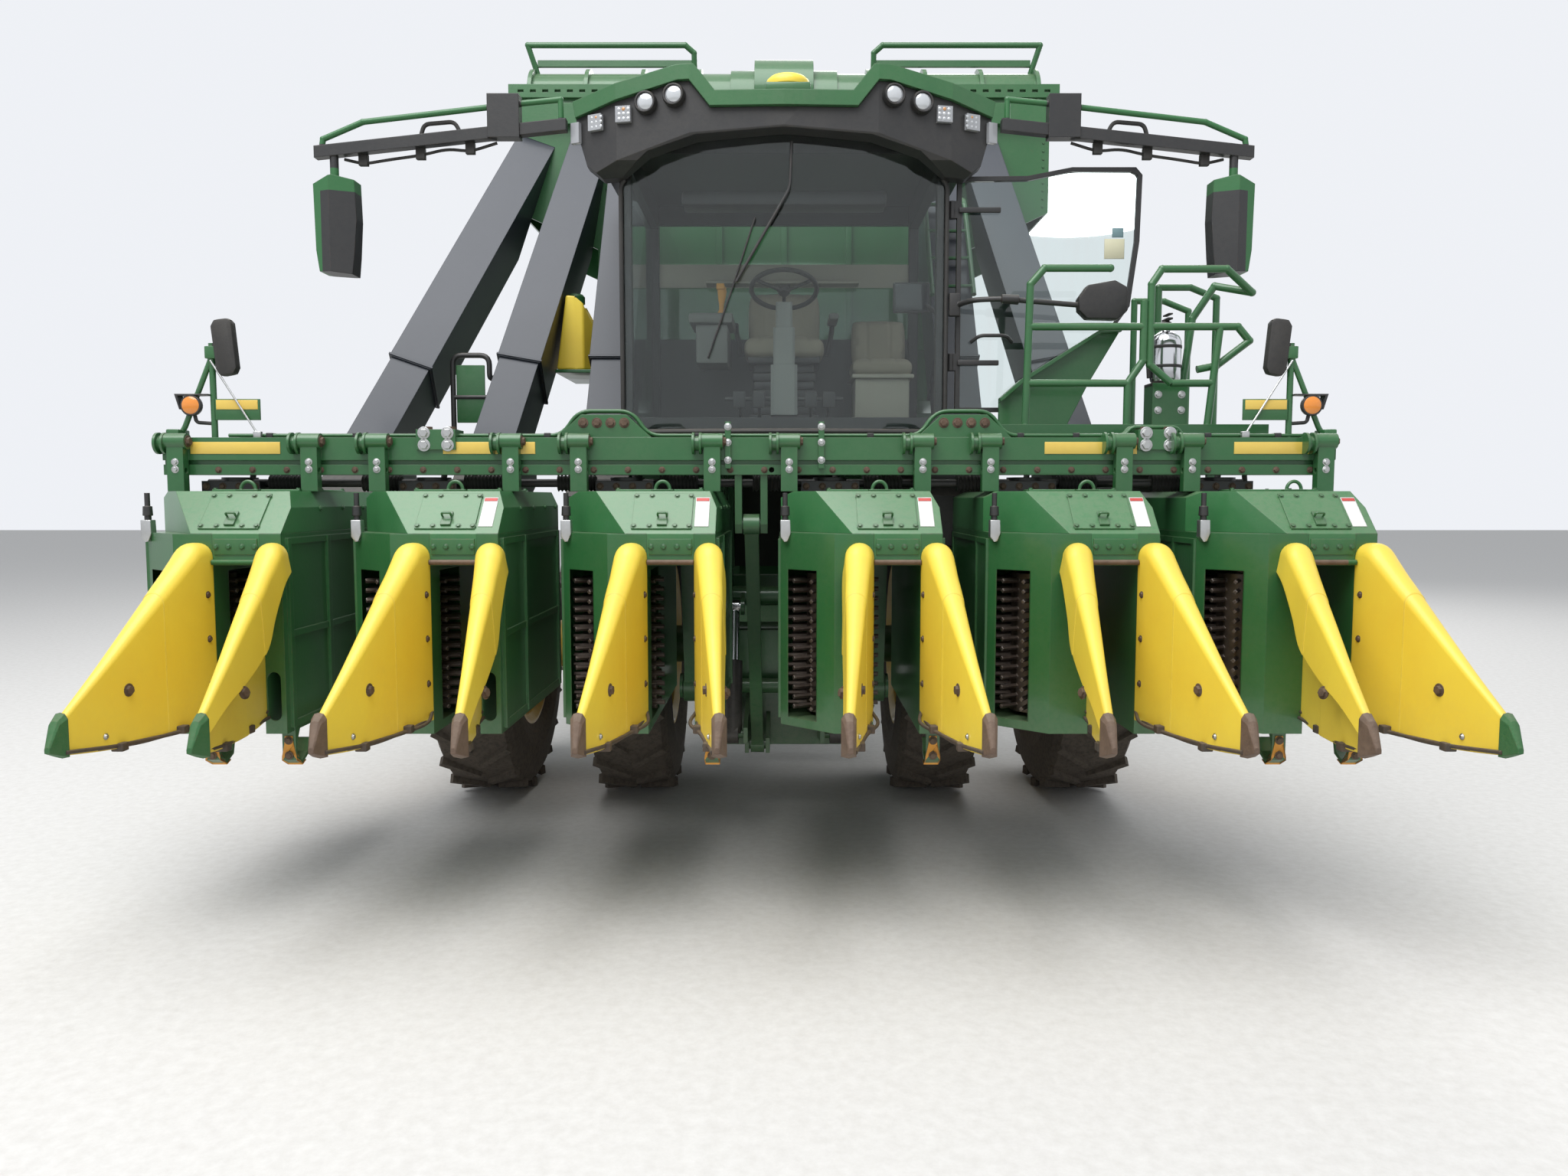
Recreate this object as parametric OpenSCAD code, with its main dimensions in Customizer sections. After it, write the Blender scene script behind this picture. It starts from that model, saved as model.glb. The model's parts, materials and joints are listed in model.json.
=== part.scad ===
// Six-row cotton picker with a round module builder.
// Machine frame: y = 0 at the front axle, x = 0 on the cab's centre line, z = 0 on the ground.
// -Y is the front. The finished part is moved by origin_shift, to the centre of its footprint.

/* [Rows] */
// Distance from one row to the next
row_pitch = 965; // [900:5:1020]
// Distance between the two middle rows
middle_pitch = 1010; // [980:5:1040]
// Depth of a row unit, front to rear
unit_depth = 1350; // [1200:10:1400]
// Underside of the row units, header raised
unit_bottom = 910; // [850:5:950]
// Top of the row units' cabinets
cabinet_top = 1810; // [1780:5:1830]
// Top of the row units' covers
cover_top = 2000; // [1960:5:2020]
// Opening plane of the row units, ahead of the front axle
opening_y = -2670; // [-2700:10:-2640]
// Half width of the throat that the plants pass
throat_half = 104; // [90:1:120]
// Left wall of a cabinet, from its row
cabinet_left = 520; // [500:5:530]
// Right wall of a row unit, from its row
panel_right = 200; // [180:5:210]

/* [Picking drums] */
// Radius over the spindles' tips
spindle_tip_r = 215; // [200:1:220]
// Radius of the drum's core
drum_core_r = 122; // [100:1:130]
// Rows of spindles on a drum
spindle_rows = 14; // [8:1:16]
// Spindles in a row
spindles_round = 12; // [8:1:12]
// Free space round the spindles' tips
drum_play = 15; // [8:1:20]

/* [Dividers] */
// Length of a divider ahead of the opening plane
divider_length = 950; // [900:10:1000]
// Top of a divider at the opening plane
divider_top = 1775; // [1740:5:1800]
// Height of a divider's point
point_z = 1046; // [1030:2:1060]
// Sideways place of a divider's point, from its row
point_x = 260; // [250:2:270]
// Thickness of a divider's moulded shell
divider_skin = 8; // [6:0.5:10]

/* [Header beam] */
// Left end of the toolbar
beam_left = -3000; // [-3100:10:-2960]
// Right end of the toolbar
beam_right = 2650; // [2600:10:2700]
// Front face of the toolbar
beam_front = -2200; // [-2240:5:-2180]
// Depth of the toolbar
beam_depth = 120; // [100:5:130]
// Top of the toolbar
beam_top = 2260; // [2240:5:2270]
// Underside of the toolbar's lower rail
beam_bottom = 2080; // [2070:5:2090]

/* [Wheels] */
// Outer radius of a front tyre
front_tyre_r = 975; // [940:5:985]
// Width of a front tyre
front_tyre_w = 520; // [460:10:540]
// Bead radius of the front wheels
front_rim_r = 545; // [520:5:560]
// Outer radius of a rear tyre
rear_tyre_r = 800; // [760:5:820]
// Width of a rear tyre
rear_tyre_w = 560; // [500:10:600]
// Bead radius of the rear wheels
rear_rim_r = 345; // [330:5:360]
// Front axle to rear axle
wheelbase = 3900; // [3800:20:4000]
// Kingpins, from the centre line
kingpin_x = 1430; // [1400:5:1450]

/* [Cab] */
// Half width of the cab
cab_half = 870; // [850:5:880]
// Height of the cab's floor
floor_z = 2400; // [2390:5:2420]
// Underside of the cab's roof
roof_z = 3850; // [3820:5:3870]
// Front pillars of the cab
cab_front = -1560; // [-1600:5:-1540]
// Rear wall of the cab
cab_rear = -150; // [-180:5:-120]
// Width of the cab's door
door_w = 980; // [950:5:985]

/* [Body] */
// Front face of the accumulator
accumulator_front = 380; // [360:5:420]
// Rear face of the accumulator
accumulator_rear = 2250; // [2200:10:2300]
// Half width of the accumulator
accumulator_half = 1840; // [1800:5:1860]
// Top of the accumulator
accumulator_top = 4900; // [4850:5:4950]
// Centre of the baler, behind the front axle
baler_y = 3780; // [3760:5:3800]
// Height of the baler's centre
baler_z = 3000; // [2980:5:3020]
// Inner radius of the baler's chamber
baler_r = 1170; // [1140:5:1200]
// Half width of the baler
baler_half = 1240; // [1200:5:1260]

/* [Hidden] */

green = [0.10, 0.36, 0.15];
light_green = [0.30, 0.58, 0.32];
yellow = [0.93, 0.75, 0.16];
duct_blue = [0.16, 0.19, 0.25];
dark = [0.10, 0.11, 0.12];
steel = [0.60, 0.61, 0.62];
rust = [0.40, 0.27, 0.19];
glass_tint = [0.60, 0.75, 0.75, 0.35];

// Places and clearances that several pieces share
row_count = 6;
rows = [for (i = [0:row_count - 1]) (i - (row_count - 1) / 2) * row_pitch
  + (i < row_count / 2 ? -1 : 1) * (middle_pitch - row_pitch) / 2];
unit_rear = opening_y + unit_depth;
beam_rear = beam_front + beam_depth;
running_gap = 0.3;
seat_gap = 0.3;

// Value at a share s of the way from a to b
function lerp(a, b, s) = a + (b - a) * s;

footprint_min = [beam_left, opening_y - divider_length];
footprint_max = [rows[5] + point_x + 28, 6300];
origin_shift = [-(footprint_min[0] + footprint_max[0]) / 2,
  -(footprint_min[1] + footprint_max[1]) / 2, 0];

// Moves a piece from the machine's own frame to the part's frame
module placed() {
  translate(origin_shift) children();
}

// Extrudes a profile drawn in Y and Z, from x0 to x1
module along_x(x0, x1) {
  translate([x0, 0, 0]) rotate([90, 0, 90]) linear_extrude(x1 - x0) children();
}

// Extrudes a profile drawn in X and Z, from y0 to y1
module along_y(y0, y1) {
  translate([0, y1, 0]) rotate([90, 0, 0]) linear_extrude(y1 - y0) children();
}

// Box between two corners
module block(low, high) {
  translate(low) cube(high - low);
}

// Disc across the machine, round a point given as [y, z]
module boss(p, r, x0, x1) {
  translate([x0, p[0], p[1]]) rotate([0, 90, 0]) cylinder(h = x1 - x0, r = r);
}

// Flat bar between two points given as [y, z], with depth h, from x0 to x1
module strut(a, b, h, x0, x1) {
  run = b - a;
  translate([x0, a[0], a[1]]) rotate([atan2(run[1], run[0]), 0, 0])
    translate([0, 0, -h / 2]) cube([x1 - x0, norm(run), h]);
}

// Round rod between two points
module rod(a, b, r) {
  run = b - a;
  translate(a) rotate([0, acos(run[2] / norm(run)), atan2(run[1], run[0])])
    cylinder(h = norm(run), r = r);
}

// Bent tube through a list of points
module pipe(points, r) {
  for (i = [0:len(points) - 2]) rod(points[i], points[i + 1], r);
  for (i = [1:1:len(points) - 2]) translate(points[i]) sphere(r = r + 1);
}

// The same piece on both sides of the machine
module both_sides() {
  children();
  mirror([1, 0, 0]) children();
}

// Row units

drum_x = -275;
drum_y = opening_y + 290;
drum_z = [950, 1640];
pocket_r = spindle_tip_r + drum_play;
lintel_z = 1670;
wall = 14;

hook_x = 175;
hook_w = 62;
// Columns: row, side of the row
hook_sites = [[0, -1], [0, 1], [2, 1], [3, 1], [5, -1], [5, 1]];

// Bent strap that hangs below a row unit
module hooks(side) {
  y = opening_y + 70;
  for (site = hook_sites) if (site[1] == side) translate([rows[site[0]], 0, 0])
    along_x(side * hook_x - hook_w / 2, side * hook_x + hook_w / 2)
      polygon([[y, unit_bottom + 20], [y + 60, unit_bottom + 20], [y + 12, 850], [y + 12, 790],
        [y + 60, 762], [y + 120, 790], [y + 140, 850], [y + 152, 850], [y + 132, 775],
        [y + 60, 745], [y, 775]]);
}

// The front left corner of a unit is cut back
module unit_plan(cut_x, cut_y) {
  polygon([[-cabinet_left, opening_y + cut_y], [cut_x, opening_y], [panel_right, opening_y],
    [panel_right, unit_rear], [-cabinet_left, unit_rear]]);
}

module unit_cabinet() {
  difference() {
    intersection() {
      translate([0, 0, unit_bottom]) linear_extrude(cabinet_top - unit_bottom)
        unit_plan(-280, 230);
      block([-cabinet_left, opening_y, unit_bottom], [-throat_half, unit_rear, cabinet_top]);
    }
    translate([drum_x, drum_y, drum_z[0]]) cylinder(h = drum_z[1] - drum_z[0], r = pocket_r);
    block([-cabinet_left + wall, drum_y + pocket_r + wall, unit_bottom - 1],
      [-throat_half - wall, unit_rear - wall, cabinet_top - wall]);
  }
  // Corner flange and door frame on the left wall
  block([-cabinet_left - 12, opening_y + 232, unit_bottom + 30],
    [-cabinet_left + 1, opening_y + 262, cabinet_top - 30]);
  for (y = [opening_y + 520, unit_rear - 60]) block([-cabinet_left - 10, y, unit_bottom + 30],
    [-cabinet_left + 1, y + 26, cabinet_top - 30]);
  for (z = [unit_bottom + 30, cabinet_top - 56]) block([-cabinet_left - 8, opening_y + 261, z],
    [-cabinet_left + 1, unit_rear - 59, z + 26]);
}

module unit_cabinets() {
  color(green) placed() {
    for (x = rows) translate([x, 0, 0]) unit_cabinet();
    hooks(-1);
  }
}

slot_r = 30;

module unit_panel() {
  x = panel_right - 52;
  difference() {
    block([throat_half, opening_y, unit_bottom], [panel_right, unit_rear, cabinet_top]);
    block([throat_half + wall, opening_y + wall, unit_bottom - 1],
      [panel_right - wall, unit_rear - wall, cabinet_top - wall]);
    // Tall slot with round ends, low on the front
    for (z = [unit_bottom + 90, unit_bottom + 250]) translate([x, opening_y - 1, z])
      rotate([-90, 0, 0]) cylinder(h = wall + 2, r = slot_r);
    block([x - slot_r, opening_y - 1, unit_bottom + 90],
      [x + slot_r, opening_y + wall + 1, unit_bottom + 250]);
  }
  // Upright ribs with door frames on the right wall
  for (y = [opening_y + 40, opening_y + 480, unit_rear - 90])
    block([panel_right - 1, y, unit_bottom + 20], [panel_right + 16, y + 34, cabinet_top - 20]);
  for (z = [unit_bottom + 20, 1340, cabinet_top - 50]) block([panel_right - 1, opening_y + 73, z],
    [panel_right + 10, unit_rear - 89, z + 30]);
}

module unit_panels() {
  color(green) placed() {
    for (x = rows) translate([x, 0, 0]) unit_panel();
    hooks(1);
  }
}

cover_run = 190;

// Cover with a slanted front, a cut corner on the left and a bevelled right edge
module unit_cover() {
  difference() {
    intersection() {
      along_x(-cabinet_left, panel_right) polygon([[opening_y, cabinet_top],
        [opening_y + cover_run, cover_top], [unit_rear, cover_top], [unit_rear, cabinet_top]]);
      translate([0, 0, cabinet_top]) linear_extrude(cover_top - cabinet_top)
        unit_plan(-200, 383);
      along_y(opening_y, unit_rear) polygon([[-cabinet_left, cabinet_top],
        [-cabinet_left, cover_top - 30], [-cabinet_left + 60, cover_top],
        [panel_right - 35, cover_top], [panel_right, cover_top - 75],
        [panel_right, cabinet_top]]);
    }
    along_x(-cabinet_left + 70, panel_right - 40) polygon([
      [opening_y + 400, cabinet_top - 1], [opening_y + 400, cover_top - wall],
      [unit_rear - wall, cover_top - wall], [unit_rear - wall, cabinet_top - 1]]);
  }
  block([-throat_half, opening_y, lintel_z], [throat_half, unit_rear, cabinet_top]);
}

module unit_covers() {
  color(light_green) placed() for (x = rows) translate([x, 0, 0]) unit_cover();
}

module picking_drum() {
  row_step = (drum_z[1] - drum_z[0] - 60) / spindle_rows;
  translate([drum_x, drum_y, 0]) {
    translate([0, 0, drum_z[0] + running_gap])
      cylinder(h = drum_z[1] - drum_z[0] - 2 * running_gap, r = 60);
    translate([0, 0, drum_z[0] + 20]) cylinder(h = drum_z[1] - drum_z[0] - 40, r = drum_core_r);
    for (k = [0:spindle_rows - 1]) translate([0, 0, drum_z[0] + 30 + row_step * (k + 0.5)])
      for (i = [0:spindles_round - 1]) rotate([0, 0, i * 360 / spindles_round])
        rotate([0, 90, 0]) cylinder(h = spindle_tip_r, r = 11, $fn = 4);
  }
}

module drum_at(i) {
  color(steel) placed() translate([rows[i], 0, 0]) picking_drum();
}

module picking_drum_1() { drum_at(0); }
module picking_drum_2() { drum_at(1); }
module picking_drum_3() { drum_at(2); }
module picking_drum_4() { drum_at(3); }
module picking_drum_5() { drum_at(4); }
module picking_drum_6() { drum_at(5); }

// Dividers: moulded shells that lean out from the throat, each with a cast point

divider_tip_y = opening_y - divider_length;
point_run = 90;
// Columns: distance ahead of the opening plane, drop of the ridge below divider_top,
// place of the inner wall, width over the ridge, height of the outer skirt's lower edge,
// height of the inner wall's lower edge
divider_stations = [[0.3, 5, 104, 128, 1640, 975], [70, 8, 116, 122, 1600, 972],
  [130, 55, 127, 114, 1540, 969], [200, 112, 139, 104, 1450, 967], [290, 182, 153, 96, 1330, 965],
  [480, 328, 182, 74, 1230, 972], [670, 474, 211, 54, 1165, 985],
  [divider_length - point_run, 612, point_x - 22, 38, 1080, 1010]];
seam = 4;
arc_turns = [180, 135, 90, 45, 0];

// One line of a divider's section, drawn in by a distance d; s is a row of the table above
function divider_line(s, d) = let (r = s[3] / 2 - d, top = divider_top - s[1] - s[3] / 2)
  concat([[s[2] + d, opening_y - s[0], s[5]]],
    [for (a = arc_turns) [s[2] + s[3] / 2 + r * cos(a), opening_y - s[0], top + r * sin(a)]],
    [[s[2] + s[3] + 12 - d, opening_y - s[0], s[4]]]);

function reversed(list) = [for (i = [len(list) - 1:-1:0]) list[i]];

// Faces of a shell lofted over n sections, each of m points out and m points back
function loft_faces(n, m) = let (ring = 2 * m) concat(
  [for (s = [0:n - 2]) for (i = [0:ring - 1])
    [s * ring + i, (s + 1) * ring + (i + 1) % ring, (s + 1) * ring + i]],
  [for (s = [0:n - 2]) for (i = [0:ring - 1])
    [s * ring + i, s * ring + (i + 1) % ring, (s + 1) * ring + (i + 1) % ring]],
  [for (i = [0:m - 2]) each [[i, ring - 2 - i, i + 1], [i, ring - 1 - i, ring - 2 - i]]],
  [for (i = [0:m - 2]) let (e = (n - 1) * ring)
    each [[e + ring - 2 - i, e + i, e + i + 1], [e + ring - 1 - i, e + i, e + ring - 2 - i]]]);

module loft(outer, inner) {
  points = [for (s = [0:len(outer) - 1]) each concat(outer[s], reversed(inner[s]))];
  polyhedron(points, loft_faces(len(outer), len(outer[0])));
}

// Shell over the stations from the first to the last, its outside drawn in by d
module divider_shell(first, last, d) {
  picked = [for (i = [first:last]) divider_stations[i]];
  loft([for (s = picked) divider_line(s, d)], [for (s = picked) divider_line(s, d + divider_skin)]);
}

// Six pairs of dividers, the second of each pair mirrored
module divider_pairs() {
  for (x = rows) translate([x, 0, 0]) both_sides() children();
}

module dividers() {
  color(yellow) placed() divider_pairs() {
    divider_shell(0, seam, 6);
    divider_shell(seam, len(divider_stations) - 1, 0);
  }
}

// Section of a divider's cast point at a share s of its length, as two lines of points
function point_lines(s) = let (base = divider_stations[len(divider_stations) - 1],
    w = lerp(base[3] + 20, 20, s), x = lerp(base[2] - 4, point_x - 10, s),
    y = opening_y - lerp(base[0] + seat_gap, divider_length, s),
    top = lerp(divider_top - base[1] + 4, point_z + 10, s * s),
    low = lerp(base[5] - 6, point_z - 10, s))
  [[[x, y, low], [x, y, top - w / 3], [x + w / 5, y, top], [x + w / 2, y, top + w / 12]],
    [[x + w / 2, y, low - w / 9], [x + w, y, low], [x + w, y, top - w / 3],
      [x + w * 0.8, y, top]]];

module divider_points() {
  steps = [0, 0.45, 1];
  color(rust) placed() {
    divider_pairs() loft([for (s = steps) point_lines(s)[0]], [for (s = steps) point_lines(s)[1]]);
    // Wear strip on the lintel of each throat
    for (x = rows) boss([opening_y - 12, lintel_z + 14], 12 - seat_gap, x - throat_half + seat_gap,
      x + throat_half - seat_gap);
  }
}

// Skid shoes under the dividers
module divider_guards() {
  color(dark) placed() divider_pairs() along_x(point_x - 75, point_x - 35)
    polygon([[opening_y + 60, unit_bottom - 0.3], [opening_y + 60, 860],
      [opening_y - 250, 830], [opening_y - 330, 830], [opening_y - 330, 870],
      [opening_y - 60, 961], [opening_y - 0.3, 961], [opening_y - 0.3, unit_bottom - 0.3]]);
}

// Header beam and its hangers

module hanger(x, low) {
  difference() {
    block([x - 40, beam_front - 50, low], [x + 40, beam_front + 1, beam_top - 20]);
    boss([beam_front - 25, beam_bottom + 20], 14, x - 41, x + 41);
  }
  boss([beam_front - 25, beam_top - 20], 38, x - 52, x + 52);
  // Spool that hangs on the beam beside the hanger
  boss([beam_front - 20, beam_top - 30], 52, x - 62, x - 50);
  boss([beam_front - 20, beam_top - 30], 52, x - 96, x - 84);
  boss([beam_front - 20, beam_top - 30], 34, x - 96, x - 50);
}

hanger_y = beam_front - 50;

module header_beam() {
  color(green) placed() difference() {
    union() {
      block([beam_left, beam_front, 2150], [beam_right, beam_rear, beam_top]);
      block([beam_left, beam_front + 22, 2130], [beam_right, beam_rear, 2150]);
      block([beam_left, beam_front + 6, beam_bottom], [beam_right, beam_rear, 2130]);
      for (x = rows) {
        hanger(x - cabinet_left + 40, cover_top);
        hanger(x + panel_right - 40, cover_top);
      }
      for (x = [-870, 870]) along_y(beam_front + 10, beam_rear - 10)
        polygon([[x - 230, beam_top - 1], [x - 110, beam_top + 110], [x + 110, beam_top + 110],
          [x + 230, beam_top - 1]]);
      // Bolted clamps over the beam, and the straps at its middle
      for (x = [-1771, 1705]) block([x, beam_front - 12, beam_top - 60],
        [x + 190, beam_rear + 12, beam_top + 38]);
      for (x = [-270, 180]) block([x - 14, beam_front - 16, beam_bottom + 30],
        [x + 14, beam_front + 1, beam_top + 75]);
      both_sides() for (x = [arm_x[0] - 45, arm_x[1] + 5]) arm_bracket(x);
      level_bracket();
    }
    both_sides() boss(arm_pin, 35.3, arm_x[0] - 46, arm_x[1] + 46);
    boss(level_pin, 25.3, level_x - 100, level_x + 100);
    for (x = [-60, 60]) translate([x, beam_front - 1, beam_bottom + 24])
      rotate([-90, 0, 0]) cylinder(h = beam_depth + 2, r = 13);
  }
}

// Lift linkage, places given as [y, z]

arm_pivot = [-815, 820];
arm_knee = [-1195, 2140];
arm_pin = [-1960, 2170];
arm_x = [510, 610];
level_x = -160;
level_offset = [-150, -330];
level_pivot = arm_pivot + level_offset;
level_pin = arm_pin + level_offset;
barrel_pin = [-1200, 600];
rod_eye = [-951, 1322];
eye_play = 5;
cylinder_x = 300;

module arm_bracket(x) {
  along_x(x, x + 40) polygon([[beam_rear - 1, 2100], [beam_rear - 1, beam_top],
    [arm_pin[0] + 50, beam_top - 20], [arm_pin[0] + 50, 2110]]);
}

module level_bracket() {
  for (x = [level_x - 80, level_x + 45]) along_x(x, x + 35) polygon([
    [beam_front + 20, beam_bottom + 1], [beam_rear - 5, beam_bottom + 1],
    [level_pin[0] + 45, level_pin[1]], [level_pin[0] + 20, level_pin[1] - 45],
    [level_pin[0] - 20, level_pin[1] - 45], [level_pin[0] - 45, level_pin[1]]]);
}

// Unit vector square to v, and the corner h outside a bend from a over k to b
function square_to(v) = [-v[1], v[0]] / norm(v);
function mitre(a, k, b, h) = let (n = square_to(k - a), m = square_to(b - k))
  k + (n + m) * h / (1 + n * m);

// Outline of a flat bar with half depth h that bends at k
function bent_outline(a, k, b, h) = [a + h * square_to(k - a), mitre(a, k, b, h),
  b + h * square_to(b - k), b - h * square_to(b - k), mitre(a, k, b, -h),
  a - h * square_to(k - a)];

module lift_arms() {
  color(green) placed() {
    both_sides() {
      difference() {
        union() {
          along_x(arm_x[0] + 8, arm_x[1] - 8)
            polygon(bent_outline(arm_pivot, arm_knee, arm_pin, 75));
          boss(arm_pivot, 95, arm_x[0], arm_x[1]);
          boss(arm_pin, 84, arm_x[0], arm_x[1]);
        }
        boss(arm_pivot, 45.3, arm_x[0] - 1, arm_x[1] + 1);
      }
      boss(arm_pin, 35, arm_x[0] - 45, arm_x[1] + 45);
    }
    // Cross tube, with the lugs that the cylinders' rods push on
    difference() {
      union() {
        boss(rod_eye + [90, 60], 55, -arm_x[0] - 20, arm_x[0] + 20);
        both_sides() for (x = [cylinder_x - 65, cylinder_x + 40]) {
          strut(rod_eye, rod_eye + [90, 60], 90, x + 3, x + 22);
          boss(rod_eye, 52, x, x + 25);
        }
      }
      both_sides() boss(rod_eye, 25 + eye_play, cylinder_x - 80, cylinder_x + 80);
    }
  }
}

module level_link() {
  color(green) placed() difference() {
    union() {
      strut(level_pivot, level_pin, 70, level_x - 35, level_x + 35);
      boss(level_pivot, 50, level_x - 40, level_x + 40);
      boss(level_pin, 50, level_x - 40, level_x + 40);
      boss(level_pin, 25, level_x - 80, level_x + 80);
    }
    boss(level_pivot, 30.3, level_x - 60, level_x + 60);
  }
}

cylinder_run = rod_eye - barrel_pin;
cylinder_lean = atan2(cylinder_run[0], cylinder_run[1]);
barrel_length = 430;

// Stands a cylinder's parts on the barrel's pin, leaning to the rod's eye
module on_barrel_pin() {
  both_sides() translate([cylinder_x, barrel_pin[0], barrel_pin[1]])
    rotate([-cylinder_lean, 0, 0]) children();
}

module lift_barrels() {
  color(dark) placed() on_barrel_pin() difference() {
    union() {
      cylinder(h = barrel_length, r = 55);
      translate([-35, 0, 0]) rotate([0, 90, 0]) cylinder(h = 70, r = 55);
    }
    translate([0, 0, 70]) cylinder(h = barrel_length, r = 35.3);
    translate([-60, 0, 0]) rotate([0, 90, 0]) cylinder(h = 120, r = 25.3);
  }
}

module lift_rods() {
  reach = norm(cylinder_run);
  color(steel) placed() on_barrel_pin() {
    translate([0, 0, reach - 490]) cylinder(h = 460, r = 35);
    translate([-32, 0, reach]) rotate([0, 90, 0]) cylinder(h = 64, r = 42);
    translate([-64, 0, reach]) rotate([0, 90, 0]) cylinder(h = 128, r = 25);
  }
}

// Air ducts: [x at the base, sideways lean]

ducts = [[-2480, 19.2], [-1725, 9.9], [-1060, 0], [1060, 0], [1725, -9.9]];
duct_back = 0.65;
duct_base = [-800, 2240];
duct_w = 240;
duct_depth = 400;
duct_wall = 8;
sleeve_wall = 12;
sleeve_start = 560;
sleeve_length = 2600;
lower_length = 1500;
boot_play = 55;
boot_skin = 15;
boot_low = 1700;

// Stands a duct on its base: the z axis becomes the duct's own axis
module on_duct(d) {
  translate([d[0], duct_base[0], duct_base[1]])
    rotate([-atan(duct_back * cos(d[1])), d[1], 0]) children();
}

module duct_tube(w, depth, thickness, start, length) {
  translate([0, 0, start]) difference() {
    translate([-w / 2, -depth / 2, 0]) cube([w, depth, length]);
    translate([-w / 2 + thickness, -depth / 2 + thickness, -1])
      cube([w - 2 * thickness, depth - 2 * thickness, length + 2]);
  }
}

module duct_lower(d) {
  color(duct_blue) placed() difference() {
    on_duct(d) duct_tube(duct_w, duct_depth, duct_wall, -250, lower_length + 250);
    translate([d[0] - 600, duct_base[0] - 900, duct_base[1] - 900]) cube([1200, 1800, 900]);
  }
}

module duct_lower_1() { duct_lower(ducts[0]); }
module duct_lower_2() { duct_lower(ducts[1]); }
module duct_lower_3() { duct_lower(ducts[2]); }
module duct_lower_4() { duct_lower(ducts[3]); }
module duct_lower_5() { duct_lower(ducts[4]); }

module duct_sleeve(d) {
  grow = 2 * (running_gap + sleeve_wall);
  difference() {
    on_duct(d) duct_tube(duct_w + grow, duct_depth + grow, sleeve_wall, sleeve_start,
      sleeve_length);
    translate([d[0] - sleeve_length, accumulator_front, duct_base[1]])
      cube([2 * sleeve_length, sleeve_length, 2 * sleeve_length]);
  }
}

module duct_sleeves() {
  color(duct_blue) placed() for (d = ducts) duct_sleeve(d);
}

// Boots that lead from the units' rear doors up to the ducts
module duct_boot(x0, x1) {
  rear = duct_base[0] + 255;
  front = duct_base[0] - 250;
  top = duct_base[1] - boot_play;
  difference() {
    along_x(x0, x1) polygon([[unit_rear, boot_low], [unit_rear, cover_top - 20], [front, top],
      [rear, top], [rear, top - 130]]);
    along_x(x0 + boot_skin, x1 - boot_skin) polygon([[unit_rear + boot_skin, boot_low + 40],
      [unit_rear + boot_skin, cover_top - 50], [front + 10, top - boot_skin],
      [rear - boot_skin, top - boot_skin], [rear - boot_skin, top - 115]]);
  }
}

module duct_boots() {
  color(dark) placed() {
    for (d = ducts) duct_boot(d[0] - 170, d[0] + 170);
    // The inner right unit's boot reaches sideways to its duct
    duct_boot(rows[3] + 165, ducts[3][0] - 169);
    // The outer right unit blows through a cross box into its neighbour's boot
    duct_boot(ducts[4][0] + 169, rows[5] - 100);
  }
}

// Horizontal shaft that drives the six units

drive_y = beam_rear + 30;
drive_z = 2042;

module header_drive() {
  color(dark) placed() {
    boss([drive_y, drive_z], 20, rows[0] - 420, rows[5] - 160);
    for (x = rows) {
      block([x + drum_x - 145, drive_y - 75, cover_top], [x + drum_x + 140, drive_y + 110, 2052]);
      translate([x + drum_x, drive_y + 20, 2050]) cylinder(h = 20, r = 85);
    }
  }
}

// Chassis and axles

rail_x = [370, 470];
rail_z = [1150, 1450];
rail_front = -750;
rail_rear = 4750;
drawbar_z = 1110;
drawbar_hole = [0, 5000];
bridge_z = 2700;

// Outlines of the plates that carry the cylinders' pins and the level link's pin
module cylinder_plate(y) {
  polygon([[y - seat_gap, 470], [y - seat_gap, 758],
    [barrel_pin[0] - 45, barrel_pin[1] + 45], [barrel_pin[0] - 45, barrel_pin[1] - 45]]);
}

module level_plate(y) {
  polygon([[y - seat_gap, 440], [y - seat_gap, 640],
    [level_pivot[0] - 45, level_pivot[1] + 45], [level_pivot[0] - 45, level_pivot[1] - 45]]);
}

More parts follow.
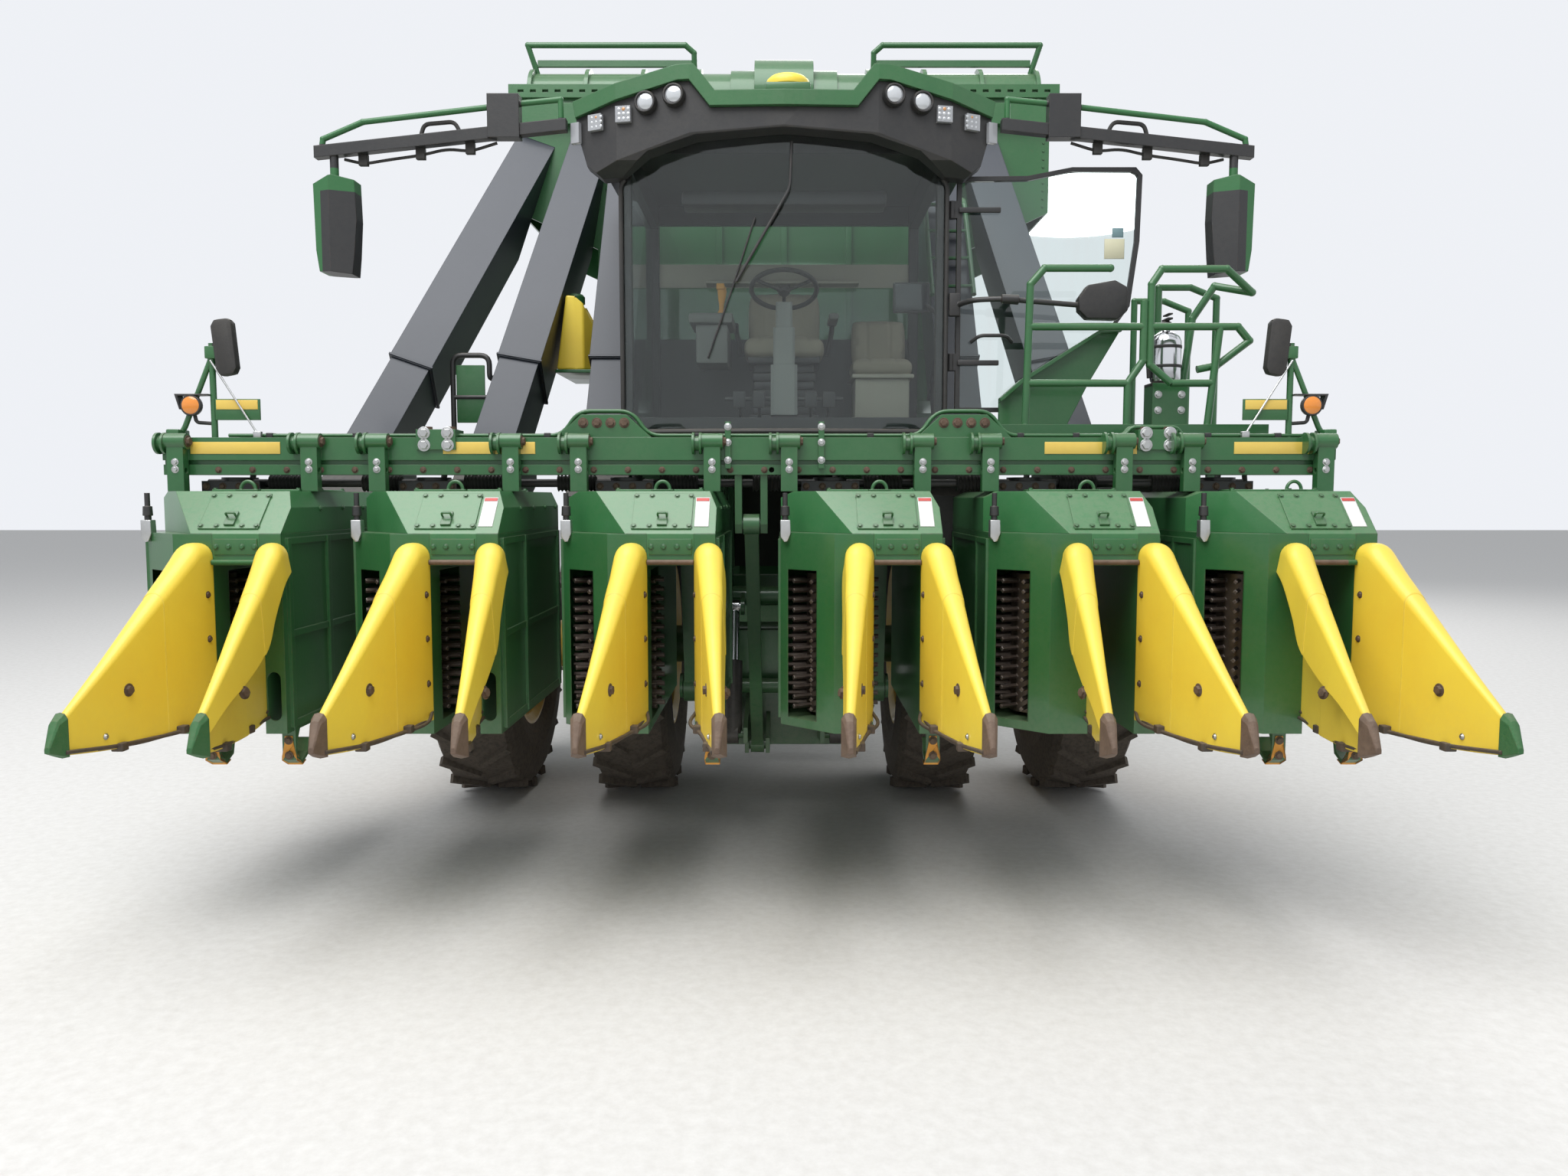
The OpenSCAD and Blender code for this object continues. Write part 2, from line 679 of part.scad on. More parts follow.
module chassis() {
  plate_y = -700;
  color(green) placed() {
    both_sides() {
      block([rail_x[0], rail_front, rail_z[0]], [rail_x[1], rail_rear, rail_z[1]]);
      // Posts that stand on the rails
      for (y = [-720, -330]) block([rail_x[0], y, rail_z[1] + seat_gap],
        [rail_x[1], y + 120, 2200 - seat_gap]);
      block([rail_x[0], cab_front, 2200], [rail_x[1], cab_rear, cab_floor[0]]);
      block([rail_x[0], accumulator_front + 200, rail_z[1] + seat_gap], [rail_x[1], 800, 2650]);
      block([rail_x[0], 2380, rail_z[1] + seat_gap], [rail_x[1], 2500, bridge_z - seat_gap]);
      // Nose plates for the arms' shaft
      difference() {
        along_x(410, 450) polygon([[plate_y - seat_gap, 600], [plate_y - seat_gap, 1149],
          [-900, 900], [-900, 740]]);
        boss(arm_pivot, 45 + running_gap, 409, 451);
      }
      // Outer plates for the cylinders' pins, and the pins between the plates
      along_x(cylinder_x + 65, cylinder_x + 90) cylinder_plate(plate_y);
      boss(barrel_pin, 25, cylinder_x - 65 + seat_gap, cylinder_x + 65 - seat_gap);
    }
    along_x(cylinder_x - 90, cylinder_x - 65) cylinder_plate(plate_y);
    along_x(-cylinder_x + 65, -cylinder_x + 90) {
      cylinder_plate(plate_y);
      level_plate(plate_y);
    }
    along_x(level_x + 50, level_x + 75) level_plate(plate_y);
    boss(level_pivot, 30, level_x - 50 + seat_gap, level_x + 50 - seat_gap);
    // Front plate under the rails, and the arms' shaft with its collars
    block([-450, plate_y, 430], [450, plate_y + 100, rail_z[0] - seat_gap]);
    boss(arm_pivot, 45, -arm_x[1] - 20, arm_x[1] + 20);
    both_sides() {
      boss(arm_pivot, 75, arm_x[1] + 5, arm_x[1] + 25);
      boss(arm_pivot, 75, 450 + seat_gap, arm_x[0] - 5);
    }
    for (y = [500, 1700, 2900, rail_rear - 120])
      block([-rail_x[0] + seat_gap, y, rail_z[0] + 40], [rail_x[0] - seat_gap, y + 120,
        rail_z[1] - 40]);
    // Cross member, brackets and shaft of the handler
    block([-rail_x[0] + seat_gap, rail_rear - 250, 1210], [rail_x[0] - seat_gap,
      rail_rear - 120 - seat_gap, 1400]);
    both_sides() {
      block([rail_x[1] + seat_gap, rail_rear - 250, 1210], [830, rail_rear - 130, 1400]);
      for (start = [[rail_x[0], rail_rear + seat_gap], [760, rail_rear - 130 + seat_gap]])
        difference() {
          along_x(start[0], start[0] + 60) polygon([[start[1], 1200], [start[1], 1400],
            [handler_pivot[0] + 50, handler_pivot[1] + 50],
            [handler_pivot[0] + 50, handler_pivot[1] - 50]]);
          boss(handler_pivot, 35 + running_gap, start[0] - 1, start[0] + 61);
        }
    }
    boss(handler_pivot, 35, -960, 960);
    // Drawbar under the rearmost cross member
    difference() {
      union() {
        block([-60, rail_rear - 120, drawbar_z], [60, drawbar_hole[1] + 60, drawbar_z + 60]);
        block([-60, rail_rear - 120, drawbar_z + 59], [60, rail_rear,
          rail_z[0] + 40 - seat_gap]);
      }
      translate([0, drawbar_hole[1], drawbar_z - 1]) cylinder(h = 62, r = 20);
    }
  }
}

axle_z = front_tyre_r;
inner_wheel_x = row_pitch;
outer_wheel_x = 2 * row_pitch;
disc_half = 20;

module front_axle() {
  color(green) placed() {
    boss([0, axle_z], 150, -620, 620);
    both_sides() {
      boss([0, axle_z], 240, rail_x[1] + seat_gap, 620);
      boss([0, axle_z], 125, 619, inner_wheel_x - disc_half - running_gap);
      boss([0, axle_z], 190, inner_wheel_x - 60, inner_wheel_x - disc_half - running_gap);
      block([340, -190, axle_z], [500, 190, rail_z[0]]);
    }
  }
}

rear_axle_z = rear_tyre_r;
rear_wheel_x = 2 * row_pitch;
kingpin_r = 50;

module rear_axle() {
  color(green) placed() {
    block([-rail_x[1], wheelbase - 180, 940], [rail_x[1], wheelbase + 180, rail_z[0]]);
    difference() {
      union() {
        block([-kingpin_x + 40, wheelbase - 110, rear_axle_z - 110],
          [kingpin_x - 40, wheelbase + 110, rear_axle_z + 141]);
        both_sides() translate([kingpin_x, wheelbase, rear_axle_z - 190])
          cylinder(h = 380, r = 110);
      }
      both_sides() translate([kingpin_x, wheelbase, rear_axle_z - 200])
        cylinder(h = 400, r = kingpin_r + running_gap);
    }
  }
}

module knuckle() {
  low = rear_axle_z - 250;
  high = rear_axle_z + 250;
  translate([kingpin_x, wheelbase, low]) cylinder(h = high - low, r = kingpin_r);
  for (z = [low, high - 54]) translate([kingpin_x - 90, wheelbase - 90, z])
    cube([270, 180, 54]);
  block([kingpin_x + 140, wheelbase - 90, low], [kingpin_x + 181, wheelbase + 90, high]);
  boss([wheelbase, rear_axle_z], 70, kingpin_x + 180,
    rear_wheel_x - disc_half - running_gap);
  boss([wheelbase, rear_axle_z], 130, rear_wheel_x - 50,
    rear_wheel_x - disc_half - running_gap);
}

module knuckle_left() {
  color(green) placed() knuckle();
}

module knuckle_right() {
  color(green) placed() mirror([1, 0, 0]) knuckle();
}

// Wheels

module tyre(r, w, bead, lugs) {
  lug = 45;
  lug_w = 42;
  lug_turn = 40;
  lug_run = w * 0.52;
  // Half of a lug's reach round the tyre sets how high its corners stand
  half_reach = lug_run / 2 * sin(lug_turn) + lug_w / 2 * cos(lug_turn);
  lug_top = sqrt(r * r - half_reach * half_reach);
  lug_foot = r - lug - 20;
  rotate([0, 90, 0]) {
    rotate_extrude($fn = 64) polygon([[bead, -w * 0.42], [bead + 60, -w * 0.47],
      [bead + 150, -w * 0.5], [r - lug - 60, -w * 0.47], [r - lug, -w * 0.40],
      [r - lug + 12, 0], [r - lug, w * 0.40], [r - lug - 60, w * 0.47],
      [bead + 150, w * 0.5], [bead + 60, w * 0.47], [bead, w * 0.42],
      [bead, w * 0.34], [bead + 150, w * 0.42], [r - lug - 70, w * 0.38],
      [r - lug - 70, -w * 0.38], [bead + 150, -w * 0.42], [bead, -w * 0.34]]);
    for (s = [-1, 1]) for (i = [0:lugs - 1])
      rotate([0, 0, (i + (s > 0 ? 0.5 : 0)) * 360 / lugs])
        translate([(lug_top + lug_foot) / 2, 0, s * w * 0.235]) rotate([s * lug_turn, 0, 0])
          cube([lug_top - lug_foot, lug_w, lug_run], center = true);
  }
}

// Rim with its disc: bead radius, half width and disc radius
module rim(bead, half, hub) {
  rotate([0, 90, 0]) rotate_extrude() {
    polygon([[bead - 1, -half], [bead - 1, -half + 18], [bead - 45, -half + 40],
      [bead - 45, half - 40], [bead - 1, half - 18], [bead - 1, half],
      [bead - 20, half], [bead - 65, half - 35], [bead - 65, disc_half + 70],
      [bead - 130, disc_half], [0, disc_half], [0, -disc_half], [bead - 120, -disc_half],
      [bead - 65, 40], [bead - 65, -half + 35], [bead - 20, -half]]);
  }
}

module front_tyres() {
  for (x = [inner_wheel_x, outer_wheel_x]) translate([x, 0, axle_z])
    tyre(front_tyre_r, front_tyre_w, front_rim_r, 22);
}

module front_rims() {
  for (x = [inner_wheel_x, outer_wheel_x]) translate([x, 0, axle_z])
    rim(front_rim_r, front_tyre_w * 0.42, 190);
  boss([0, axle_z], 160, inner_wheel_x, outer_wheel_x + 90);
}

module rear_tyre() {
  translate([rear_wheel_x, wheelbase, rear_axle_z])
    tyre(rear_tyre_r, rear_tyre_w, rear_rim_r, 20);
}

module rear_rim() {
  translate([rear_wheel_x, wheelbase, rear_axle_z])
    rim(rear_rim_r, rear_tyre_w * 0.42, 130);
  boss([wheelbase, rear_axle_z], 110, rear_wheel_x, rear_wheel_x + 90);
}

module front_tyres_left() {
  color(dark) placed() front_tyres();
}

module front_tyres_right() {
  color(dark) placed() mirror([1, 0, 0]) front_tyres();
}

module front_rims_left() {
  color(yellow) placed() front_rims();
}

module front_rims_right() {
  color(yellow) placed() mirror([1, 0, 0]) front_rims();
}

module rear_tyre_left() {
  color(dark) placed() rear_tyre();
}

module rear_tyre_right() {
  color(dark) placed() mirror([1, 0, 0]) rear_tyre();
}

module rear_rim_left() {
  color(yellow) placed() rear_rim();
}

module rear_rim_right() {
  color(yellow) placed() mirror([1, 0, 0]) rear_rim();
}

// Cab

pillar = 60;
cab_floor = [floor_z - 100, floor_z];
rear_wall_z = 3000;
side_top = roof_z - 145;
visor_front = cab_front - 280;
// Right half of the roof's outline from the front, its upper line and its lower line
brow_top = [[350, roof_z + 165], [455, roof_z + 295], [545, roof_z + 295], [1100, roof_z + 170]];
brow_low = [[375, roof_z + 90], [480, roof_z + 220], [540, roof_z + 220], [1085, roof_z + 88]];
// Right half of the fascia's lower line, an arch over the windshield
arch = [[0, roof_z - 8], [450, roof_z - 40], [700, roof_z - 110], [840, roof_z - 215],
  [945, roof_z - 222], [1025, roof_z - 160], [1065, roof_z - 25]];
bow = 110;
glass_t = 8;

function flipped(points) = [for (i = [len(points) - 1:-1:0]) [-points[i][0], points[i][1]]];
function bow_y(x) = cab_front - bow * (1 - pow(x / (cab_half - 2), 2)) - seat_gap;

// Curve of the roof's front: [x, how far it lies behind the foremost point]
roof_curve = [[0, 0], [480, 20], [860, 90], [1150, 230]];
fascia_in = 30;
function fascia_y(x) = visor_front + fascia_in + lookup(x, roof_curve);

// Plan of the roof, drawn in by a distance d along its curved front
module roof_plan(d) {
  front = [for (p = roof_curve) [p[0], visor_front + p[1] + d]];
  polygon(concat([[-roof_curve[3][0], cab_rear + 40]], flipped(front), front,
    [[roof_curve[3][0], cab_rear + 40]]));
}

// Black fascia under the brow: its lower edge leans back to the glass
module fascia() {
  intersection() {
    along_y(visor_front, cab_front + 40) polygon(concat(
      [for (p = flipped(brow_low)) p - [0, seat_gap]], [for (p = brow_low) p - [0, seat_gap]],
      reversed(arch), [for (i = [1:len(arch) - 1]) [-arch[i][0], arch[i][1]]]));
    translate([0, 0, 3500]) linear_extrude(700) difference() {
      roof_plan(fascia_in);
      polygon(concat([for (i = [-8:8]) let (x = i * cab_half / 8)
        [x, bow_y(min(max(x, -cab_half + 2), cab_half - 2)) - glass_t - seat_gap]],
        [[cab_half, cab_front + 100], [-cab_half, cab_front + 100]]));
      // Room for the door to swing
      translate([-1200, cab_front + 8]) square([2400, 200]);
    }
    along_x(-1200, 1200) polygon([[visor_front + 40, roof_z + 250], [visor_front + 30, roof_z],
      [visor_front + 120, roof_z - 150], [cab_front - 60, roof_z - 235],
      [cab_front + 40, roof_z - 235], [cab_front + 40, roof_z + 250]]);
  }
}

module cab_frame() {
  color(dark) placed() {
    block([-cab_half, cab_front, cab_floor[0]], [cab_half, cab_rear, cab_floor[1]]);
    both_sides() {
      block([cab_half - pillar, cab_front, floor_z - 1],
        [cab_half, cab_front + pillar, roof_z]);
      block([cab_half - pillar, cab_rear - pillar, floor_z - 1],
        [cab_half, cab_rear, roof_z]);
      block([cab_half - pillar, cab_front, side_top], [cab_half, cab_rear, roof_z]);
    }
    block([-cab_half, cab_front, roof_z - 70], [cab_half, cab_front + pillar, roof_z]);
    block([-cab_half, cab_rear - 40, floor_z - 1], [cab_half, cab_rear, rear_wall_z]);
    block([-cab_half, cab_rear - 40, roof_z - 120], [cab_half, cab_rear, roof_z]);
    // Headliner between the frame and the roof
    along_y(cab_front, cab_rear) polygon(concat(
      [for (p = flipped(brow_low)) p - [0, seat_gap]], [for (p = brow_low) p - [0, seat_gap]],
      [[cab_half, roof_z - 1], [-cab_half, roof_z - 1]]));
    fascia();
  }
}

module cab_roof() {
  color(green) placed() intersection() {
    along_y(visor_front, cab_rear + 40) polygon(concat(flipped(brow_top), brow_top,
      reversed(brow_low), reversed(flipped(brow_low))));
    translate([0, 0, 3500]) linear_extrude(700) roof_plan(0);
  }
}

module cab_glass() {
  color(glass_tint) placed() {
    // Bowed windshield
    along = [for (i = [-8:8]) let (x = i * (cab_half - 2) / 8) [x, bow_y(x)]];
    translate([0, 0, 2300]) linear_extrude(roof_z - 2300)
      polygon(concat(along, reversed([for (p = along) p - [0, glass_t]])));
    // Left window and rear window, set in their frames
    block([-cab_half + 10, cab_front + pillar, floor_z], [-cab_half + 10 + glass_t,
      cab_rear - pillar, side_top]);
    block([-cab_half + pillar, cab_rear - 24, rear_wall_z], [cab_half - pillar,
      cab_rear - 24 + glass_t, roof_z - 120]);
  }
}

door_hinge = [cab_half + 30, cab_front + 30];
door_z = [2430, side_top + 10];
door_t = 30;
door_frame = 24;

// Door outline in X and Z from its hinge: the lower rear corner is cut back
function door_outline(d) = [[d, door_z[0] + d], [door_w * 0.54 - d * 0.8, door_z[0] + d],
  [door_w - 52 - d, door_z[0] + 560], [door_w - 8 - d, door_z[0] + 900], [door_w - d, door_z[1] - 40],
  [door_w - 35 - d, door_z[1] - d], [door_w * 0.62, door_z[1] - d * 0.9],
  [door_w * 0.38, door_z[1] - 45 - d], [d, door_z[1] - 50 - d]];

module at_door() {
  translate([door_hinge[0] + 20, door_hinge[1], 0]) children();
}

module cab_door() {
  color(dark) placed() {
    at_door() difference() {
      along_y(-door_t / 2, door_t / 2) polygon(door_outline(0));
      along_y(-door_t, door_t) polygon(door_outline(door_frame));
    }
    for (z = [2650, 3450]) {
      block([door_hinge[0] - 1, door_hinge[1] - 15, z], [door_hinge[0] + 22, door_hinge[1] + 15,
        z + 90]);
      translate([door_hinge[0] - 5, door_hinge[1], z]) cylinder(h = 90, r = 20);
    }
  }
}

module door_glass() {
  color(glass_tint) placed() at_door()
    along_y(-4, 4) polygon(door_outline(door_frame + 0.2));
}

module cab_seats() {
  color([0.62, 0.55, 0.42]) placed() {
    // Operator's seat on its pedestal, then the passenger's seat
    block([-260, -900, 2820], [260, -380, 2950]);
    block([-250, -480, 2940], [250, -340, 3290]);
    block([-180, -800, floor_z], [180, -450, 2821]);
    block([380, -780, 2780], [740, -380, 2880]);
    block([380, -470, 2870], [740, -360, 3130]);
    block([420, -740, floor_z], [700, -420, 2781]);
    // Steering column and wheel
    rod([0, -1330, floor_z + 11.4], [0, -1150, 3120], 45);
    translate([0, -1140, 3150]) rotate([-25, 0, 0]) rotate_extrude()
      translate([185, 0]) circle(r = 16);
    rod([-180, -1140, 3150], [180, -1140, 3150], 14);
    rod([0, -1150, 3110], [0, -1138, 3160], 30);
  }
}

// Platform and rails on the machine's left side

platform_z = 2340;
platform_t = 70;
rail_y = -1900;
rail_r = 19;
ladder_x = 2430;
ladder_y = [-1150, -700];
hood_y = [-1640, -1612];

// Front rails: two gate-like loops, then the hand rails beside the ladder
module front_rails() {
  low = platform_z - 1;
  pipe([[1225, rail_y, low], [1240, rail_y, 3040], [1310, rail_y, 3120], [1640, rail_y, 3120],
    [1815, rail_y, 2960], [1815, rail_y, 2660], [1740, rail_y, 2548], [1225, rail_y, 2548]],
    rail_r);
  pipe([[1228, rail_y, 2830], [1815, rail_y, 2830]], rail_r);
  pipe([[1740, rail_y, 2550], [1740, rail_y, low]], rail_r);
  pipe([[1960, rail_y, 2548], [1850, rail_y, 2640], [1850, rail_y, 3040], [1900, rail_y, 3116],
    [2225, rail_y, 3116], [2380, rail_y + 60, 3010], [2225, rail_y + 160, 3060],
    [2130, rail_y + 200, 2900], [2060, rail_y + 200, low]], rail_r);
  pipe([[1850, rail_y, 2830], [2290, rail_y, 2830], [2350, rail_y, 2760],
    [2200, rail_y + 30, 2640], [2100, rail_y + 30, 2620]], rail_r);
  pipe([[1960, rail_y, 2548], [2170, rail_y, 2548]], rail_r);
  pipe([[2200, rail_y, 2830], [2150, rail_y, low]], rail_r);
}

module ladder() {
  for (y = ladder_y) {
    block([ladder_x, y - 15, 600], [ladder_x + 60, y + 15, platform_z]);
    pipe([[ladder_x + 30, y, platform_z - 1], [ladder_x + 30, y, 3100],
      [ladder_x - 120, y, 3160], [ladder_x - 300, y, 3160], [ladder_x - 300, y,
      platform_z - 1]], rail_r);
  }
  for (z = [650:330:2300])
    block([ladder_x, ladder_y[0], z], [ladder_x + 60, ladder_y[1], z + 30]);
}

module platform() {
  color(green) placed() {
    block([cab_half, rail_y - 30, platform_z - platform_t], [2450, -1120, platform_z]);
    block([2030, -1121, platform_z - platform_t], [ladder_x + 60, -640, platform_z]);
    front_rails();
    ladder();
    // Slanted shield in front of the open door, with a folded upper edge
    along_y(hood_y[0], hood_y[1]) polygon([[1140, platform_z - 1], [1140, 2495], [1246, 2590],
      [1658, 2849], [1776, 2854], [1613, 2577], [1493, platform_z - 1]]);
    along_y(hood_y[0] - 45, hood_y[0] + 1) polygon([[1140, 2475], [1140, 2495], [1246, 2590],
      [1658, 2849], [1776, 2854], [1766, 2836], [1662, 2831], [1256, 2572], [1158, 2486]]);
    // Post with the fire extinguisher's box
    block([1900, -1800, platform_z - 1], [2080, -1660, 2560]);
  }
}

// Body

module engine() {
  color([0.25, 0.27, 0.26]) placed()
    block([-rail_x[1] + 5, 950, rail_z[1]], [rail_x[1] - 5, 2380 - seat_gap, 2500]);
}

skin = 20;

module side_covers() {
  color(green) placed() both_sides() difference() {
    block([rail_x[1], 850, 1500], [1150, 2500, 2600]);
    block([rail_x[1] + skin, 850 + skin, 1500 + skin], [1150 - skin, 2500 - skin, 2600 - skin]);
    for (y = [950, 1750]) for (z = [1700:60:2400])
      block([1150 - skin / 2, y, z], [1151, y + 640, z + 28]);
  }
}

// Front outline of the accumulator, drawn in by a distance d
function accumulator_outline(d) = [[-1300 + d, 2650 + d], [-1300 + d, 3700 - d * 0.6],
  [-accumulator_half + d, 3950 - d * 0.6], [-accumulator_half + d, accumulator_top - 160 - d],
  [accumulator_half - d, accumulator_top - 160 - d], [accumulator_half - d, 3950 - d * 0.6],
  [1300 - d, 3700 - d * 0.6], [1300 - d, 2650 + d]];

// Rounded intake along the front of the accumulator's top: place given as [y, z]
intake_r = 235;
intake = [accumulator_front + intake_r + 10, accumulator_top - 165];
intake_ribs = [590, 982, 1373, 1764];
rail_x_top = [632, 1797];

module intake_hood() {
  boss(intake, intake_r - 8, -intake_ribs[3], intake_ribs[3]);
  both_sides() for (x = intake_ribs) boss(intake, intake_r + 22, x - 14, x + 14);
  boss(intake, intake_r + 12, -371, 371);
  boss(intake + [0, 60], intake_r + 25, -205, 205);
}

module top_rails() {
  both_sides() {
    y = intake[0] - 40;
    z = intake[1] + intake_r;
    pipe([[rail_x_top[1] - 60, y, z - 30], [rail_x_top[1], y - 60, z + 165],
      [rail_x_top[0] + 60, y - 60, z + 165], [rail_x_top[0], y - 40, z + 120],
      [rail_x_top[0], y, z - 5]], 20);
    block([rail_x_top[0], y - 30, z + 30], [rail_x_top[1] - 60, y - 6, z + 75]);
  }
}

module accumulator() {
  color(green) placed() {
    difference() {
      along_y(accumulator_front, accumulator_rear) polygon(accumulator_outline(0));
      along_y(accumulator_front + skin, accumulator_rear - skin)
        polygon(accumulator_outline(skin));
      // Pressed panels in the side walls
      both_sides() for (i = [0:2]) for (z = [4030, 4400])
        block([accumulator_half - skin / 2, accumulator_front + 110 + i * 580, z],
          [accumulator_half + 1, accumulator_front + 600 + i * 580, z + 290]);
    }
    intake_hood();
    top_rails();
    both_sides() {
      // Slotted flange at the front of the top, and the beam below it
      difference() {
        block([1150, accumulator_front - 30, intake[1] - 15],
          [accumulator_half + 60, accumulator_front + 1, intake[1] + 75]);
        for (i = [0:7]) block([1200 + i * 85, accumulator_front - 31, intake[1] + 20],
          [1240 + i * 85, accumulator_front - 10, intake[1] + 38]);
      }
      block([1100, accumulator_front - 60, intake[1] - 200],
        [accumulator_half - 20, accumulator_front + 1, intake[1] - 60]);
    }
  }
}

baler_shell = 70;
baler_outer = baler_r + baler_shell;
gate_hinge = [baler_y, baler_z + baler_outer + 75];
gate_gap = 8;
baler_plate = 50;
slat = [55, 40];

// Round chamber wall and end plates, open through the middle
module baler_drum() {
  difference() {
    boss([baler_y, baler_z], baler_outer, -baler_half, baler_half);
    boss([baler_y, baler_z], baler_r, -baler_half + baler_plate, baler_half - baler_plate);
  }
}

// Slats along the outside of the chamber, at angles from straight up, positive to the front
module baler_slats(turns) {
  for (a = turns) translate([0, baler_y, baler_z]) rotate([a, 0, 0])
    translate([-baler_half, -slat[0] / 2, baler_outer - 4]) cube([2 * baler_half, slat[0], slat[1]]);
}

// Raised ring on each end plate
module end_rings() {
  both_sides() difference() {
    boss([baler_y, baler_z], baler_outer - 60, baler_half - 1, baler_half + 22);
    boss([baler_y, baler_z], baler_outer - 150, baler_half - 2, baler_half + 23);
  }
}

module baler_body() {
  color(green) placed() {
    intersection() {
      union() {
        baler_drum();
        end_rings();
      }
      block([-2000, 2000, 1000], [2000, baler_y, 5000]);
    }
    baler_slats([22, 44, 132, 154]);
    // Legs down to the chassis, and the ears that carry the gate's shaft
    both_sides() {
      along_x(rail_x[0], rail_x[1]) polygon([[2900, rail_z[1]], [2900, 2200], [3700, 1800],
        [3700, rail_z[1]]]);
      along_x(baler_half - 90, baler_half - 40) polygon([[baler_y - 260, gate_hinge[1] - 110],
        [baler_y - 60, gate_hinge[1] + 50], [baler_y + 40, gate_hinge[1] + 50],
        [baler_y + 40, gate_hinge[1] - 40], [baler_y - 1, gate_hinge[1] - 66],
        [baler_y - 1, gate_hinge[1] - 120]]);
      boss(gate_barrel_pin, 60, baler_half - 1, baler_half + 30);
      boss(gate_barrel_pin, 30, baler_half + 29, gate_cylinder_x + 40);
    }
    boss(gate_hinge, 30, -baler_half + 60, baler_half - 60);
    // Bridge that feeds the chamber from the accumulator
    block([-1100, accumulator_rear, bridge_z], [1100, baler_y - baler_r - 60, 3500]);
  }
}

gate_barrel_pin = [3500, 3570];
gate_rod_eye = [4270, 3838];
gate_cylinder_x = baler_half + 85;
gate_eye_play = 27;

module baler_gate() {
  color(green) placed() difference() {
    union() {
      intersection() {
        union() {
          baler_drum();
          end_rings();
        }
        block([-2000, baler_y + gate_gap, 1000], [2000, 6000, 5000]);
      }
      baler_slats([-30, -52, -74, -96, -118, -140, -162]);
      both_sides() {
        along_x(baler_half - 190, baler_half - 110) polygon([[baler_y + 300, 4150],
          [baler_y + 60, gate_hinge[1] + 40], [baler_y - 20, gate_hinge[1] + 50],
          [baler_y - 20, gate_hinge[1] - 30], [baler_y + 60, 4230]]);
        boss(gate_hinge, 58, baler_half - 190, baler_half - 110);
        boss(gate_rod_eye, 60, baler_half - 1, baler_half + 30);
        boss(gate_rod_eye, 22, baler_half + 29, gate_cylinder_x + 40);
      }
    }
    both_sides() boss(gate_hinge, 30.3, baler_half - 200, baler_half - 100);
  }
}

gate_run = gate_rod_eye - gate_barrel_pin;
gate_lean = atan2(gate_run[0], gate_run[1]);

module on_gate_pin() {
  both_sides() translate([gate_cylinder_x, gate_barrel_pin[0], gate_barrel_pin[1]])
    rotate([-gate_lean, 0, 0]) children();
}

gate_barrel_length = norm(gate_run) - 90;

module gate_barrels() {
  color(dark) placed() on_gate_pin() difference() {
    union() {
      cylinder(h = gate_barrel_length, r = 50);
      translate([-35, 0, 0]) rotate([0, 90, 0]) cylinder(h = 70, r = 60);
    }
    translate([0, 0, 90]) cylinder(h = gate_barrel_length, r = 30.3);
    translate([-60, 0, 0]) rotate([0, 90, 0]) cylinder(h = 120, r = 30.3);
  }
}

module gate_rods() {
  reach = norm(gate_run);
  color(steel) placed() on_gate_pin() difference() {
    union() {
      translate([0, 0, 95]) cylinder(h = reach - 95, r = 30);
      translate([-35, 0, reach]) rotate([0, 90, 0]) cylinder(h = 70, r = 70);
    }
    translate([-40, 0, reach]) rotate([0, 90, 0]) cylinder(h = 80, r = 22 + gate_eye_play);
  }
}

handler_pivot = [4860, 1230];

// Cradle that takes the finished module from the gate
module module_handler() {
  color(green) placed() difference() {
    union() {
      for (x = [-900, -300, 300, 900]) along_x(x - 40, x + 40) polygon([
        [handler_pivot[0] - 60, handler_pivot[1] + 60],
        [handler_pivot[0] + 60, handler_pivot[1] + 90], [5500, 1330], [6100, 1420],
        [6280, 1560], [6300, 1520], [6150, 1330], [5500, 1220],
        [handler_pivot[0] + 40, handler_pivot[1] - 60],
        [handler_pivot[0] - 60, handler_pivot[1] - 60]]);
      boss([5500, 1275], 45, -1150, 1150);
      boss([6120, 1390], 50, -1150, 1150);
    }
    boss(handler_pivot, 35.3, -1000, 1000);
  }
}

// Arms on the roof's sides: [x, z] along the black bar and along the green tube over it
mirror_y = [-1665, -1610];
mirror_bar = [[1130, 3900], [2440, 3760]];

// Faceted housing that tapers to its foot, with a ridge down its front
module mirror_head() {
  intersection() {
    along_y(mirror_y[0] - 30, mirror_y[1] + 80) polygon([[2242, 3622], [2345, 3640], [2454, 3600],
      [2446, 3260], [2428, 3150], [2262, 3138], [2250, 3240], [2236, 3420]]);
    translate([0, 0, 3100]) linear_extrude(600) polygon([[2230, mirror_y[0] + 25],
      [2360, mirror_y[0] - 28], [2460, mirror_y[0] + 15], [2460, mirror_y[1] + 55],
      [2400, mirror_y[1] + 80], [2290, mirror_y[1] + 80], [2230, mirror_y[1] + 60]]);
  }
}

module mirrors() {
  color(duct_blue) placed() both_sides() {
    rod_y = (mirror_y[0] + mirror_y[1]) / 2;
    // Flat bar, its clamp box and the mirror's stem
    along_y(mirror_y[0], mirror_y[1]) polygon([mirror_bar[0] + [0, -30],
      mirror_bar[0] + [0, 30], mirror_bar[1] + [0, 30], mirror_bar[1] + [0, -30]]);
    block([1370, mirror_y[0] - 10, 3830], [1535, mirror_y[1] + 10, 4050]);
    pipe([[1160, rod_y, 3915], [1160, rod_y, 4030], [1370, rod_y, 4010], [2190, rod_y, 3917],
      [2400, rod_y, 3830], [2410, rod_y, 3770]], 15);
    rod([2345, rod_y, 3600], [2345, rod_y, 3770], 22);
    mirror_head();
  }
}

